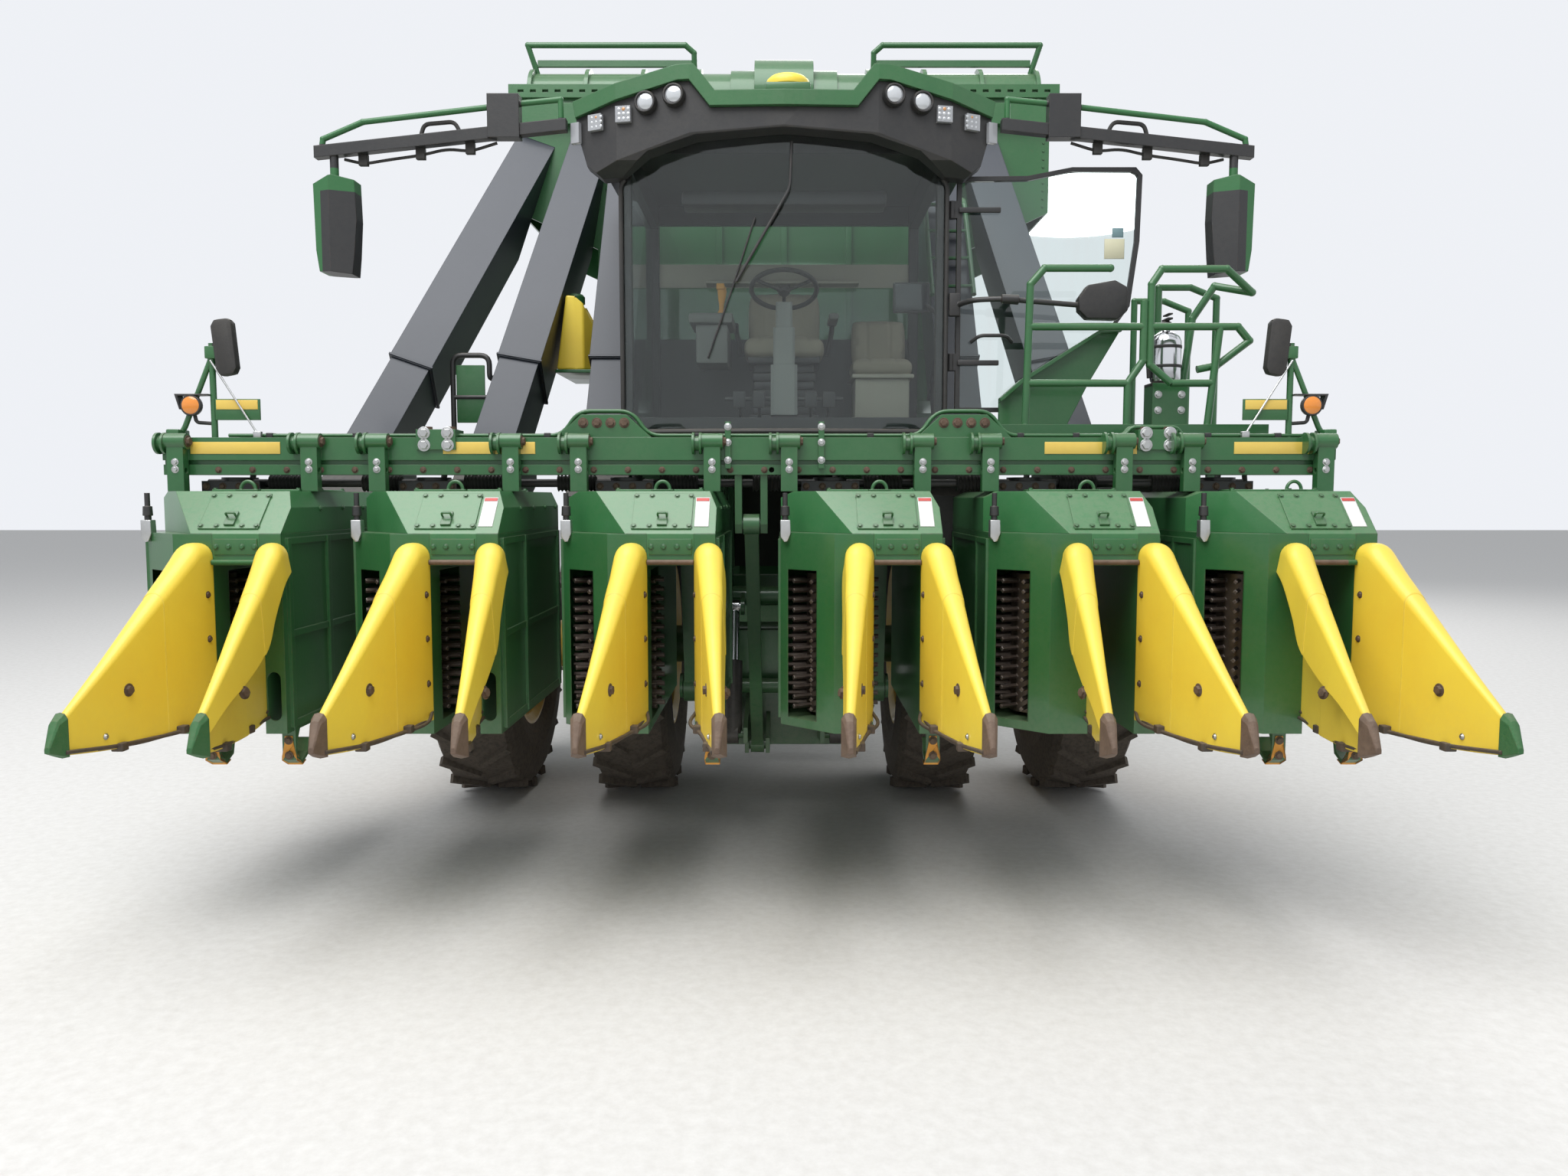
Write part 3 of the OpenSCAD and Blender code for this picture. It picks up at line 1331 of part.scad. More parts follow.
// Work lamps on the fascia: [x, z]
round_lamps = [[555, roof_z + 150], [701, roof_z + 122]];
square_lamps = [[818, roof_z + 71], [967, roof_z + 49]];
corner_lamp = [1078, roof_z + 12];
lamp_r = 42;

// Stands a lamp of half width w on the fascia, facing the front
module on_fascia(p, w) {
  slope = atan2(fascia_y(p[0] + w) - fascia_y(p[0] - w), 2 * w);
  translate([p[0], (fascia_y(p[0] + w) + fascia_y(p[0] - w)) / 2, p[1]]) rotate([0, 0, slope])
    translate([0, -1, 0]) rotate([90, 0, 0]) children();
}

module lamps() {
  color([0.9, 0.9, 0.85]) placed() both_sides() {
    for (p = round_lamps) on_fascia(p, lamp_r) cylinder(h = 30, r = lamp_r);
    for (p = square_lamps) on_fascia(p, 40) translate([-40, -40, 0]) cube([80, 80, 25]);
    on_fascia(corner_lamp, 26) translate([-26, -52, 0]) cube([52, 104, 25]);
  }
}

unit_cabinets();
unit_panels();
unit_covers();
picking_drum_1();
picking_drum_2();
picking_drum_3();
picking_drum_4();
picking_drum_5();
picking_drum_6();
dividers();
divider_points();
divider_guards();
header_beam();
header_drive();
duct_boots();
duct_sleeves();
duct_lower_1();
duct_lower_2();
duct_lower_3();
duct_lower_4();
duct_lower_5();
lift_arms();
level_link();
lift_barrels();
lift_rods();
chassis();
front_axle();
rear_axle();
knuckle_left();
knuckle_right();
front_tyres_left();
front_tyres_right();
front_rims_left();
front_rims_right();
rear_tyre_left();
rear_tyre_right();
rear_rim_left();
rear_rim_right();
cab_frame();
cab_roof();
cab_glass();
cab_door();
door_glass();
cab_seats();
platform();
engine();
side_covers();
accumulator();
baler_body();
baler_gate();
gate_barrels();
gate_rods();
module_handler();
mirrors();
lamps();
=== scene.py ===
import json
import math

import bmesh
import bpy
from mathutils import Matrix, Vector


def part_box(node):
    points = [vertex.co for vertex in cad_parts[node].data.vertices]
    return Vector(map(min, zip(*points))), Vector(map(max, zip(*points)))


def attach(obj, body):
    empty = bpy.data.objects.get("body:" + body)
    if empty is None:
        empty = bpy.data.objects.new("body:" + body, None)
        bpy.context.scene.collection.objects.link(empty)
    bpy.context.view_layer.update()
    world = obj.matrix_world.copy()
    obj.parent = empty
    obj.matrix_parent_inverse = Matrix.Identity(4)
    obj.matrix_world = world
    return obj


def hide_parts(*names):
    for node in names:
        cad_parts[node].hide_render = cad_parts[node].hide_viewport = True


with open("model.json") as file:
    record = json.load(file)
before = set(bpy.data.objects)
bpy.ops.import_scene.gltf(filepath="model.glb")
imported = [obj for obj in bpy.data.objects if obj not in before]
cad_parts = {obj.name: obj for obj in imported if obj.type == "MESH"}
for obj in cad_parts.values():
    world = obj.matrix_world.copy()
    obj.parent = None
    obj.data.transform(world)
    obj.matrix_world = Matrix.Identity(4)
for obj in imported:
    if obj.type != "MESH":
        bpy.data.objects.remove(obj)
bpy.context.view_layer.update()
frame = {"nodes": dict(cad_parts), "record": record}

# The photo's camera: lens and sensor in millimetres, its height and distance in metres
FOCAL_LENGTH = 26.0
SENSOR_WIDTH = 36.0
CAMERA_HEIGHT = 1.97
CAMERA_PITCH = math.radians(4.56)
CAMERA_FROM_AXLE = 7.7

# The part's frame is in metres: +Z up, the header at -Y, the baler at +Y. SHIFT takes a place
# from the machine's own frame, which starts on the ground below the front axle, to the part's.
axle_low, axle_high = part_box("front_axle")
SHIFT = Vector(((axle_low.x + axle_high.x) / 2, (axle_low.y + axle_high.y) / 2, 0))


# Materials: effects that several finishes share

DUST_COLOUR = (0.30, 0.26, 0.20)
ANY_PAINT = (0.1, 0.3, 0.1, 1)


def start_group(name, inputs, outputs):
    """A shader node group with its sockets made; each input is (name, kind, default)."""
    tree = bpy.data.node_groups.new(name, "ShaderNodeTree")
    for label, kind, default in inputs:
        socket = tree.interface.new_socket(label, in_out="INPUT", socket_type=kind)
        socket.default_value = default
    for label, kind in outputs:
        tree.interface.new_socket(label, in_out="OUTPUT", socket_type=kind)
    given = tree.nodes.new("NodeGroupInput")
    result = tree.nodes.new("NodeGroupOutput")
    return tree, given.outputs, result.inputs


def node(tree, kind, settings=None, **links):
    """Adds a node. Settings are its properties; links are its inputs, by name or number."""
    made = tree.nodes.new(kind)
    for name, value in (settings or {}).items():
        setattr(made, name, value)
    for name, value in links.items():
        key = int(name[1:]) if name[0] == "_" else name.replace("_", " ")
        socket = made.inputs[key]
        if isinstance(value, bpy.types.NodeSocket):
            tree.links.new(value, socket)
        else:
            socket.default_value = value
    return made


def maths(tree, operation, a, b=0.0, clamp=False):
    """What a math node makes of two values."""
    settings = {"operation": operation, "use_clamp": clamp}
    return node(tree, "ShaderNodeMath", settings, _0=a, _1=b).outputs[0]


def blend_colour(tree, share, a, b):
    """The first colour where the share is 0, the second where it is 1."""
    mix = node(tree, "ShaderNodeMix", {"data_type": "RGBA"}, _0=share, _6=a, _7=b)
    return mix.outputs[2]


def noise(tree, scale, detail=3.0, roughness=0.55, stretch=(1, 1, 1)):
    """Noise on object coordinates, in metres, stretched along the axes."""
    place = node(tree, "ShaderNodeTexCoord").outputs["Object"]
    mapped = node(tree, "ShaderNodeMapping", Vector=place, Scale=stretch).outputs[0]
    made = node(tree, "ShaderNodeTexNoise", Vector=mapped, Scale=scale, Detail=detail,
                Roughness=roughness)
    return made.outputs[0]


def step_up(tree, value, low, high):
    """How far a value has come from low to high, as 0 to 1."""
    made = node(tree, "ShaderNodeMapRange", Value=value)
    made.inputs["From Min"].default_value = low
    made.inputs["From Max"].default_value = high
    return made.outputs[0]


def make_soft_edges():
    """Rounds hard edges in the shading and gives a mask of where they are."""
    tree, given, result = start_group(
        "soft_edges", [("Radius", "NodeSocketFloat", 0.006)],
        [("Normal", "NodeSocketVector"), ("Edge", "NodeSocketFloat")])
    bevel = node(tree, "ShaderNodeBevel", {"samples": 4}, Radius=given["Radius"])
    true_normal = node(tree, "ShaderNodeNewGeometry").outputs["Normal"]
    dot = node(tree, "ShaderNodeVectorMath", {"operation": "DOT_PRODUCT"},
               _0=bevel.outputs[0], _1=true_normal)
    edge = step_up(tree, dot.outputs["Value"], 0.999, 0.88)
    tree.links.new(bevel.outputs[0], result["Normal"])
    tree.links.new(edge, result["Edge"])
    return tree


def make_field_dust():
    """Dust that lies on what faces up and clings low down, in a patchy film."""
    tree, given, result = start_group(
        "field_dust",
        [("Colour", "NodeSocketColor", ANY_PAINT),
         ("Dust Colour", "NodeSocketColor", (*DUST_COLOUR, 1)),
         ("Amount", "NodeSocketFloat", 0.3), ("Low Height", "NodeSocketFloat", 1.2)],
        [("Colour", "NodeSocketColor"), ("Mask", "NodeSocketFloat")])
    geometry = node(tree, "ShaderNodeNewGeometry")
    facing = node(tree, "ShaderNodeSeparateXYZ", _0=geometry.outputs["Normal"])
    place = node(tree, "ShaderNodeTexCoord").outputs["Object"]
    height = node(tree, "ShaderNodeSeparateXYZ", _0=place)
    upward = maths(tree, "MULTIPLY", step_up(tree, facing.outputs[2], 0.35, 1.0), 0.7)
    low = maths(tree, "DIVIDE", height.outputs[2], given["Low Height"])
    low = maths(tree, "SUBTRACT", 1.0, low, clamp=True)
    patches = step_up(tree, noise(tree, 2.6, 6.0, 0.65), 0.38, 0.66)
    fine = step_up(tree, noise(tree, 38.0, 4.0, 0.7), 0.30, 0.75)
    lying = maths(tree, "ADD", upward, low, clamp=True)
    film = maths(tree, "ADD", maths(tree, "MULTIPLY", patches, 0.35), 0.25)
    spread = maths(tree, "ADD", lying, maths(tree, "MULTIPLY", film, 0.4), clamp=True)
    spread = maths(tree, "MULTIPLY", spread, maths(tree, "ADD", fine, 0.45, clamp=True))
    mask = maths(tree, "MULTIPLY", spread, given["Amount"], clamp=True)
    tree.links.new(blend_colour(tree, mask, given["Colour"], given["Dust Colour"]),
                   result["Colour"])
    tree.links.new(mask, result["Mask"])
    return tree


def make_worn_edges():
    """Bare or rusty metal where an edge is knocked, and in a few chips."""
    tree, given, result = start_group(
        "worn_edges",
        [("Colour", "NodeSocketColor", ANY_PAINT),
         ("Bare Colour", "NodeSocketColor", (0.16, 0.09, 0.05, 1)),
         ("Edge", "NodeSocketFloat", 0.0), ("Wear", "NodeSocketFloat", 0.3),
         ("Chips", "NodeSocketFloat", 0.1)],
        [("Colour", "NodeSocketColor"), ("Mask", "NodeSocketFloat")])
    ragged = step_up(tree, noise(tree, 26.0, 5.0, 0.7), 0.46, 0.62)
    edge = maths(tree, "MULTIPLY", maths(tree, "MULTIPLY", given["Edge"], ragged), given["Wear"])
    spots = step_up(tree, noise(tree, 9.0, 7.0, 0.75), 0.66, 0.69)
    chips = maths(tree, "MULTIPLY", spots, given["Chips"])
    mask = maths(tree, "ADD", edge, chips, clamp=True)
    tree.links.new(blend_colour(tree, mask, given["Colour"], given["Bare Colour"]),
                   result["Colour"])
    tree.links.new(mask, result["Mask"])
    return tree


def make_mottle():
    """Slow and fine changes of tone, for surfaces that have stood in the weather."""
    tree, given, result = start_group(
        "mottle",
        [("Colour", "NodeSocketColor", ANY_PAINT),
         ("Second Colour", "NodeSocketColor", (0.05, 0.2, 0.06, 1)),
         ("Scale", "NodeSocketFloat", 3.0), ("Amount", "NodeSocketFloat", 0.4)],
        [("Colour", "NodeSocketColor"), ("Value", "NodeSocketFloat")])
    place = node(tree, "ShaderNodeTexCoord").outputs["Object"]
    made = node(tree, "ShaderNodeTexNoise", Vector=place, Scale=given["Scale"], Detail=6.0,
                Roughness=0.62)
    value = step_up(tree, made.outputs[0], 0.32, 0.70)
    share = maths(tree, "MULTIPLY", value, given["Amount"], clamp=True)
    tree.links.new(blend_colour(tree, share, given["Colour"], given["Second Colour"]),
                   result["Colour"])
    tree.links.new(value, result["Value"])
    return tree


SOFT_EDGES = make_soft_edges()
FIELD_DUST = make_field_dust()
WORN_EDGES = make_worn_edges()
MOTTLE = make_mottle()


def placed_group(tree, group, **links):
    """A node that holds a group, with its inputs set."""
    return node(tree, "ShaderNodeGroup", {"node_tree": group}, **links)


def plain_finish(name, roughness, metallic=0.0, coat=0.0, specular=0.5):
    """A material with its Principled shader; what is the same all over is set on the shader."""
    material = bpy.data.materials.new(name)
    material.use_nodes = True
    shader = material.node_tree.nodes["Principled BSDF"]
    shader.inputs["Roughness"].default_value = roughness
    shader.inputs["Metallic"].default_value = metallic
    shader.inputs["Coat Weight"].default_value = coat
    shader.inputs["Coat Roughness"].default_value = 0.12
    shader.inputs["Specular IOR Level"].default_value = specular
    return material, material.node_tree, shader


def weathered(name, colour, second, roughness, metallic=0.0, coat=0.0, dust=0.35,
              dust_colour=DUST_COLOUR, wear=0.35, chips=0.08,
              bare=(0.13, 0.075, 0.045), mottle=0.4, mottle_scale=3.0, edge_radius=0.006,
              grain=60.0, bump=0.05, low_height=1.2, patch=None):
    """Paint, plastic, rubber or iron with mottling, knocked edges, chips and field dust.

    A patch is a function that gives the mask of a part in another colour, and that colour.
    """
    material, tree, shader = plain_finish(name, roughness, metallic, coat)
    tone = placed_group(tree, MOTTLE, Colour=(*colour, 1), Second_Colour=(*second, 1),
                        Scale=mottle_scale, Amount=mottle)
    painted = tone.outputs["Colour"]
    if patch:
        painted = blend_colour(tree, patch[0](tree), painted, (*patch[1], 1))
    edges = placed_group(tree, SOFT_EDGES, Radius=edge_radius)
    worn = placed_group(tree, WORN_EDGES, Colour=painted,
                        Bare_Colour=(*bare, 1), Edge=edges.outputs["Edge"], Wear=wear,
                        Chips=chips)
    dusty = placed_group(tree, FIELD_DUST, Colour=worn.outputs["Colour"],
                         Dust_Colour=(*dust_colour, 1), Amount=dust, Low_Height=low_height)
    tree.links.new(dusty.outputs["Colour"], shader.inputs["Base Color"])
    rough = maths(tree, "MULTIPLY_ADD", worn.outputs["Mask"], 0.30)
    rough.node.inputs[2].default_value = roughness
    spread = maths(tree, "MULTIPLY", dusty.outputs["Mask"], 0.45)
    tree.links.new(maths(tree, "ADD", rough, spread, clamp=True), shader.inputs["Roughness"])
    height = noise(tree, grain, 4.0, 0.6)
    relief = node(tree, "ShaderNodeBump", Strength=bump, Distance=0.01, Height=height,
                  Normal=edges.outputs["Normal"])
    tree.links.new(relief.outputs[0], shader.inputs["Normal"])
    return material


def make_glass(name, tint, roughness=0.02):
    """Tinted glass with upright streaks of dust."""
    material, tree, shader = plain_finish(name, roughness)
    shader.inputs["Transmission Weight"].default_value = 1.0
    shader.inputs["IOR"].default_value = 1.45
    streak = step_up(tree, noise(tree, 5.0, 5.0, 0.6, (3.0, 3.0, 0.5)), 0.45, 0.8)
    tree.links.new(blend_colour(tree, maths(tree, "MULTIPLY", streak, 0.35), (*tint, 1),
                                (0.78, 0.80, 0.78, 1)), shader.inputs["Base Color"])
    return material


def machine_place(tree):
    """Object coordinates in metres: X from the machine's centre line, and Z."""
    place = node(tree, "ShaderNodeTexCoord").outputs["Object"]
    parts = node(tree, "ShaderNodeSeparateXYZ", _0=place).outputs
    return maths(tree, "SUBTRACT", parts[0], SHIFT.x), parts[2]


# Green on the mirrors, in metres: each head's edges, and the rod above the falling bar
HEAD_INNER_X = 2.22
HEAD_TOP_Z = 3.68
CAP_INNER_X = 2.41
CAP_FOOT_Z = 3.56
BAR_FALL = 0.1069
ROD_LINE = 4.059
CLAMP_X = 1.4525
CLAMP_HALF = 0.09

# The green divider tips lie beyond these places, at the photo's left and right
GREEN_TIPS_LEFT_X = -1.95
GREEN_TIPS_RIGHT_X = 2.50


def mirror_edge_mask(tree):
    """Green on the mirrors: the thin rod above the bar, and a cap along each head's edges."""
    x, z = machine_place(tree)
    far = maths(tree, "ABSOLUTE", x)
    head = maths(tree, "MULTIPLY", maths(tree, "GREATER_THAN", far, HEAD_INNER_X),
                 maths(tree, "LESS_THAN", z, HEAD_TOP_Z))
    cap = maths(tree, "MAXIMUM", maths(tree, "GREATER_THAN", z, CAP_FOOT_Z),
                maths(tree, "GREATER_THAN", far, CAP_INNER_X))
    above_bar = maths(tree, "MULTIPLY_ADD", far, BAR_FALL)
    tree.links.new(z, above_bar.node.inputs[2])
    rod = maths(tree, "GREATER_THAN", above_bar, ROD_LINE)
    from_clamp = maths(tree, "ABSOLUTE", maths(tree, "SUBTRACT", far, CLAMP_X))
    rod = maths(tree, "MULTIPLY", rod, maths(tree, "GREATER_THAN", from_clamp, CLAMP_HALF))
    return maths(tree, "ADD", maths(tree, "MULTIPLY", head, cap), rod, clamp=True)


def green_tip_mask(tree):
    """The divider tips that still have their paint: both on unit 1, the outer one on unit 6."""
    x = machine_place(tree)[0]
    return maths(tree, "ADD", maths(tree, "LESS_THAN", x, GREEN_TIPS_LEFT_X),
                 maths(tree, "GREATER_THAN", x, GREEN_TIPS_RIGHT_X), clamp=True)


MACHINE_GREEN = (0.018, 0.125, 0.034)

# The finishes: main and second colour and roughness, then what differs from plain paint
FINISH = {}


def add_finish(name, colour, second, roughness, **look):
    """Makes a weathered finish and keeps it under its name."""
    FINISH[name] = weathered(name, colour, second, roughness, **look)


add_finish("green_paint", MACHINE_GREEN, (0.012, 0.085, 0.024), 0.34, coat=0.35, dust=0.30)
add_finish("light_green_paint", (0.032, 0.175, 0.055), (0.022, 0.130, 0.040), 0.36, coat=0.35,
           dust=0.35)
add_finish("yellow_plastic", (0.86, 0.66, 0.060), (0.80, 0.52, 0.040), 0.42, coat=0.15, dust=0.22,
           dust_colour=(0.42, 0.34, 0.20), wear=0.12, chips=0.04, bare=(0.35, 0.25, 0.10),
           mottle=0.5, mottle_scale=2.0, bump=0.03, low_height=1.35)
add_finish("rusty_iron", (0.15, 0.095, 0.065), (0.06, 0.034, 0.022), 0.70, metallic=0.35,
           dust=0.45, wear=0.6, chips=0.4, bare=(0.26, 0.20, 0.16), mottle=0.9, mottle_scale=22.0,
           bump=0.35)
add_finish("black_paint", (0.014, 0.015, 0.017), (0.022, 0.022, 0.024), 0.42, coat=0.1, dust=0.25)
add_finish("spindle_steel", (0.13, 0.105, 0.09), (0.05, 0.035, 0.028), 0.42, metallic=0.75,
           dust=0.15, wear=0.5, bare=(0.45, 0.42, 0.40), mottle=0.8, mottle_scale=14.0)
add_finish("duct_paint", (0.020, 0.026, 0.038), (0.026, 0.032, 0.045), 0.46, coat=0.1, dust=0.06,
           dust_colour=(0.16, 0.16, 0.16), mottle=0.6, wear=0.1, chips=0.03)
add_finish("rod_chrome", (0.72, 0.73, 0.75), (0.60, 0.60, 0.62), 0.16, metallic=1.0, dust=0.12,
           wear=0.0, chips=0.0, bump=0.01)
add_finish("tyre_rubber", (0.020, 0.020, 0.021), (0.034, 0.032, 0.030), 0.78, dust=0.75,
           dust_colour=(0.16, 0.13, 0.10), wear=0.2, chips=0.0, bare=(0.06, 0.055, 0.05),
           bump=0.18, low_height=1.6)
add_finish("yellow_paint", (0.80, 0.52, 0.035), (0.70, 0.42, 0.03), 0.35, coat=0.3, dust=0.4)
FINISH["cab_glass"] = make_glass("cab_glass", (0.80, 0.88, 0.86))
add_finish("seat_fabric", (0.36, 0.31, 0.24), (0.28, 0.24, 0.18), 0.72, dust=0.1, wear=0.0,
           chips=0.0, bump=0.12, grain=260.0, edge_radius=0.02)
add_finish("engine_iron", (0.045, 0.05, 0.045), (0.03, 0.03, 0.028), 0.55, metallic=0.3, dust=0.4,
           mottle_scale=8.0)
add_finish("lamp_glass", (0.36, 0.37, 0.39), (0.24, 0.25, 0.27), 0.16, coat=0.8, dust=0.15,
           wear=0.0, chips=0.0)
add_finish("zinc", (0.55, 0.56, 0.56), (0.40, 0.40, 0.38), 0.30, metallic=0.9, dust=0.25,
           wear=0.0, chips=0.05, mottle_scale=30.0)
add_finish("white_plate", (0.78, 0.78, 0.76), (0.66, 0.65, 0.62), 0.40, dust=0.25, wear=0.1,
           chips=0.02)
add_finish("red_band", (0.55, 0.035, 0.03), (0.42, 0.03, 0.025), 0.38, dust=0.2, wear=0.0,
           chips=0.0)
add_finish("chipped_green", (0.022, 0.130, 0.038), (0.014, 0.09, 0.026), 0.45, dust=0.4, wear=0.9,
           chips=1.0, bare=(0.17, 0.085, 0.05), mottle_scale=9.0)
add_finish("orange_paint", (0.80, 0.36, 0.040), (0.68, 0.27, 0.030), 0.42, dust=0.3, wear=0.4,
           chips=0.1)
add_finish("stripe_film", (0.78, 0.55, 0.10), (0.66, 0.42, 0.06), 0.30, coat=0.5, dust=0.25,
           wear=0.1, chips=0.05, mottle_scale=6.0)
add_finish("amber_glass", (0.80, 0.26, 0.02), (0.62, 0.18, 0.02), 0.15, coat=0.8, dust=0.15,
           wear=0.0, chips=0.0)
add_finish("red_glass", (0.50, 0.02, 0.015), (0.36, 0.015, 0.01), 0.15, coat=0.8, dust=0.15,
           wear=0.0, chips=0.0)
add_finish("lens_glass", (0.60, 0.62, 0.64), (0.46, 0.48, 0.50), 0.10, metallic=0.3, coat=1.0,
           dust=0.05, wear=0.0, chips=0.0)
add_finish("dark_glass", (0.012, 0.014, 0.018), (0.02, 0.022, 0.026), 0.08, coat=1.0, dust=0.08,
           wear=0.0, chips=0.0)
add_finish("hose_rubber", (0.018, 0.018, 0.019), (0.030, 0.030, 0.030), 0.62, dust=0.3, wear=0.0,
           chips=0.0, grain=180.0, bump=0.1)
add_finish("cab_plastic", (0.20, 0.20, 0.19), (0.16, 0.16, 0.15), 0.55, dust=0.15, wear=0.0,
           chips=0.0, grain=320.0, bump=0.08)
add_finish("pale_plastic", (0.48, 0.44, 0.36), (0.40, 0.37, 0.30), 0.55, dust=0.15, wear=0.0,
           chips=0.0, grain=320.0, bump=0.08)
add_finish("pale_plate", (0.62, 0.60, 0.42), (0.52, 0.50, 0.36), 0.5, dust=0.2, wear=0.0,
           chips=0.0)
add_finish("mirror_shell", (0.014, 0.015, 0.017), (0.022, 0.022, 0.024), 0.42, coat=0.1,
           dust=0.15, patch=(mirror_edge_mask, MACHINE_GREEN))
add_finish("tip_iron", (0.15, 0.095, 0.065), (0.06, 0.034, 0.022), 0.62, metallic=0.2, dust=0.35,
           wear=0.7, chips=0.5, bare=(0.20, 0.13, 0.09), mottle=0.6, mottle_scale=22.0, bump=0.3,
           patch=(green_tip_mask, MACHINE_GREEN))
add_finish("guard_iron", (0.045, 0.040, 0.036), (0.090, 0.052, 0.034), 0.62, metallic=0.3,
           dust=0.35, wear=0.6, chips=0.4, mottle=0.8, mottle_scale=14.0, bump=0.2)
add_finish("orange_lens", (0.62, 0.30, 0.10), (0.48, 0.20, 0.06), 0.10, coat=1.0, dust=0.05,
           wear=0.0, chips=0.0)
add_finish("blue_plate", (0.16, 0.26, 0.28), (0.12, 0.20, 0.22), 0.45, dust=0.2, wear=0.0,
           chips=0.0)

# Nodes that carry two colours: green edges on the mirrors, green paint on some iron tips
OWN_FINISH = {"mirrors": "mirror_shell", "divider_points": "tip_iron"}

for piece in frame["record"]["subparts"]:
    shown = frame["nodes"][piece["node"]]
    finish_name = OWN_FINISH.get(piece["node"], piece["material_slot"])
    shown.data.materials.clear()
    shown.data.materials.append(FINISH[finish_name])


# Mesh making: places are in millimetres on the machine, X to the photo's right, Y to the rear

def at(x, y, z):
    """A place on the machine, in metres in the part's frame."""
    return Vector((x / 1000, y / 1000, z / 1000)) + SHIFT


def add_ring(mesh, points):
    return [mesh.verts.new(point) for point in points]


def bridge(mesh, first, second):
    """Faces between two closed rings of as many points."""
    count = len(first)
    for i in range(count):
        mesh.faces.new((first[i], first[(i + 1) % count], second[(i + 1) % count], second[i]))


def add_loft(mesh, rings):
    """Closed form through rings of points, each ring in the same order."""
    made = [add_ring(mesh, ring) for ring in rings]
    for first, second in zip(made, made[1:]):
        bridge(mesh, first, second)
    mesh.faces.new(made[0])
    mesh.faces.new(list(reversed(made[-1])))
    return made


def add_block(mesh, low, high, bevel=3.0):
    """A box with rounded edges, between two opposite corners in any order."""
    low, high = [[pick(pair) for pair in zip(low, high)] for pick in (min, max)]
    centre = [(a + b) / 2 for a, b in zip(low, high)]
    made = bmesh.ops.create_cube(mesh, size=1.0)["verts"]
    for vertex in made:
        spot = [c + k * (b - a) for c, k, a, b in zip(centre, vertex.co, low, high)]
        vertex.co = at(*spot)
    if bevel:
        edges = {edge for vertex in made for edge in vertex.link_edges}
        bmesh.ops.bevel(mesh, geom=list(edges), offset=bevel / 1000, segments=2, profile=0.6,
                        affect="EDGES")


def add_plate(mesh, outline, low, high, axis="y", bevel=0.0):
    """A flat plate: its outline in the two other axes, in order, then its two faces' places."""
    def spot(pair, depth):
        if axis == "x":
            return at(depth, pair[0], pair[1])
        if axis == "y":
            return at(pair[0], depth, pair[1])
        return at(pair[0], pair[1], depth)
    made = add_loft(mesh, [[spot(pair, low) for pair in outline],
                           [spot(pair, high) for pair in outline]])
    if bevel:
        edges = {edge for ring in made for vertex in ring for edge in vertex.link_edges}
        bmesh.ops.bevel(mesh, geom=list(edges), offset=bevel / 1000, segments=2, profile=0.6,
                        affect="EDGES")


def frame_at(direction):
    """Two unit vectors square to a direction."""
    side = Vector((0, 0, 1)) if abs(direction.z) < 0.9 else Vector((1, 0, 0))
    first = direction.cross(side).normalized()
    return first, direction.cross(first).normalized()


def add_turned(mesh, start, direction, profile, steps=28):
    """A turned form: profile holds (distance along the axis, radius), in millimetres."""
    axis = Vector(direction).normalized()
    first, second = frame_at(axis)
    rings = []
    for along, radius in profile:
        middle = at(*start) + axis * along / 1000
        turns = [2 * math.pi * i / steps for i in range(steps)]
        rings.append([middle + (first * math.cos(t) + second * math.sin(t)) * radius / 1000
                      for t in turns])
    add_loft(mesh, rings)


def rounded_route(points, bend):
    """The route's points with each corner replaced by a short curve."""
    route = [Vector(points[0])]
    for before, corner, after in zip(points, points[1:], points[2:]):
        corner = Vector(corner)
        back = Vector(before) - corner
        ahead = Vector(after) - corner
        reach = min(bend, back.length * 0.45, ahead.length * 0.45)
        start = corner + back.normalized() * reach
        end = corner + ahead.normalized() * reach
        for i in range(6):
            s = i / 5
            route.append(start * (1 - s) ** 2 + corner * 2 * s * (1 - s) + end * s ** 2)
    route.append(Vector(points[-1]))
    return route


def add_pipe(mesh, points, radius, bend=60.0, sides=12):
    """A round pipe or hose along a route with rounded corners."""
    route = rounded_route(points, bend)
    rings = []
    side = None
    for i, place in enumerate(route):
        run = (route[min(i + 1, len(route) - 1)] - route[max(i - 1, 0)]).normalized()
        if side is None:
            side = frame_at(run)[0]
        side = (side - run * side.dot(run)).normalized()
        other = run.cross(side)
        turns = [2 * math.pi * k / sides for k in range(sides)]
        rings.append([at(*(place + (side * math.cos(t) + other * math.sin(t)) * radius))
                      for t in turns])
    add_loft(mesh, rings)


def finish_piece(name, made, body, slot, finish=None, smooth=38.0, replaced=()):
    """Makes a bmesh or a mesh a finished piece on its body."""
    if isinstance(made, bmesh.types.BMesh):
        bmesh.ops.recalc_face_normals(made, faces=made.faces)
        mesh = bpy.data.meshes.new(name)
        made.to_mesh(mesh)
        made.free()
    else:
        mesh = made
    mesh.shade_smooth()
    mesh.set_sharp_from_angle(angle=math.radians(smooth))
    mesh.materials.clear()
    mesh.materials.append(finish or FINISH[slot])
    piece = bpy.data.objects.new(name, mesh)
    bpy.context.collection.objects.link(piece)
    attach(piece, body)
    if replaced:
        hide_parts(*replaced)
    return piece


# Bolts, nuts and rivets: one node tree sets a head on each point

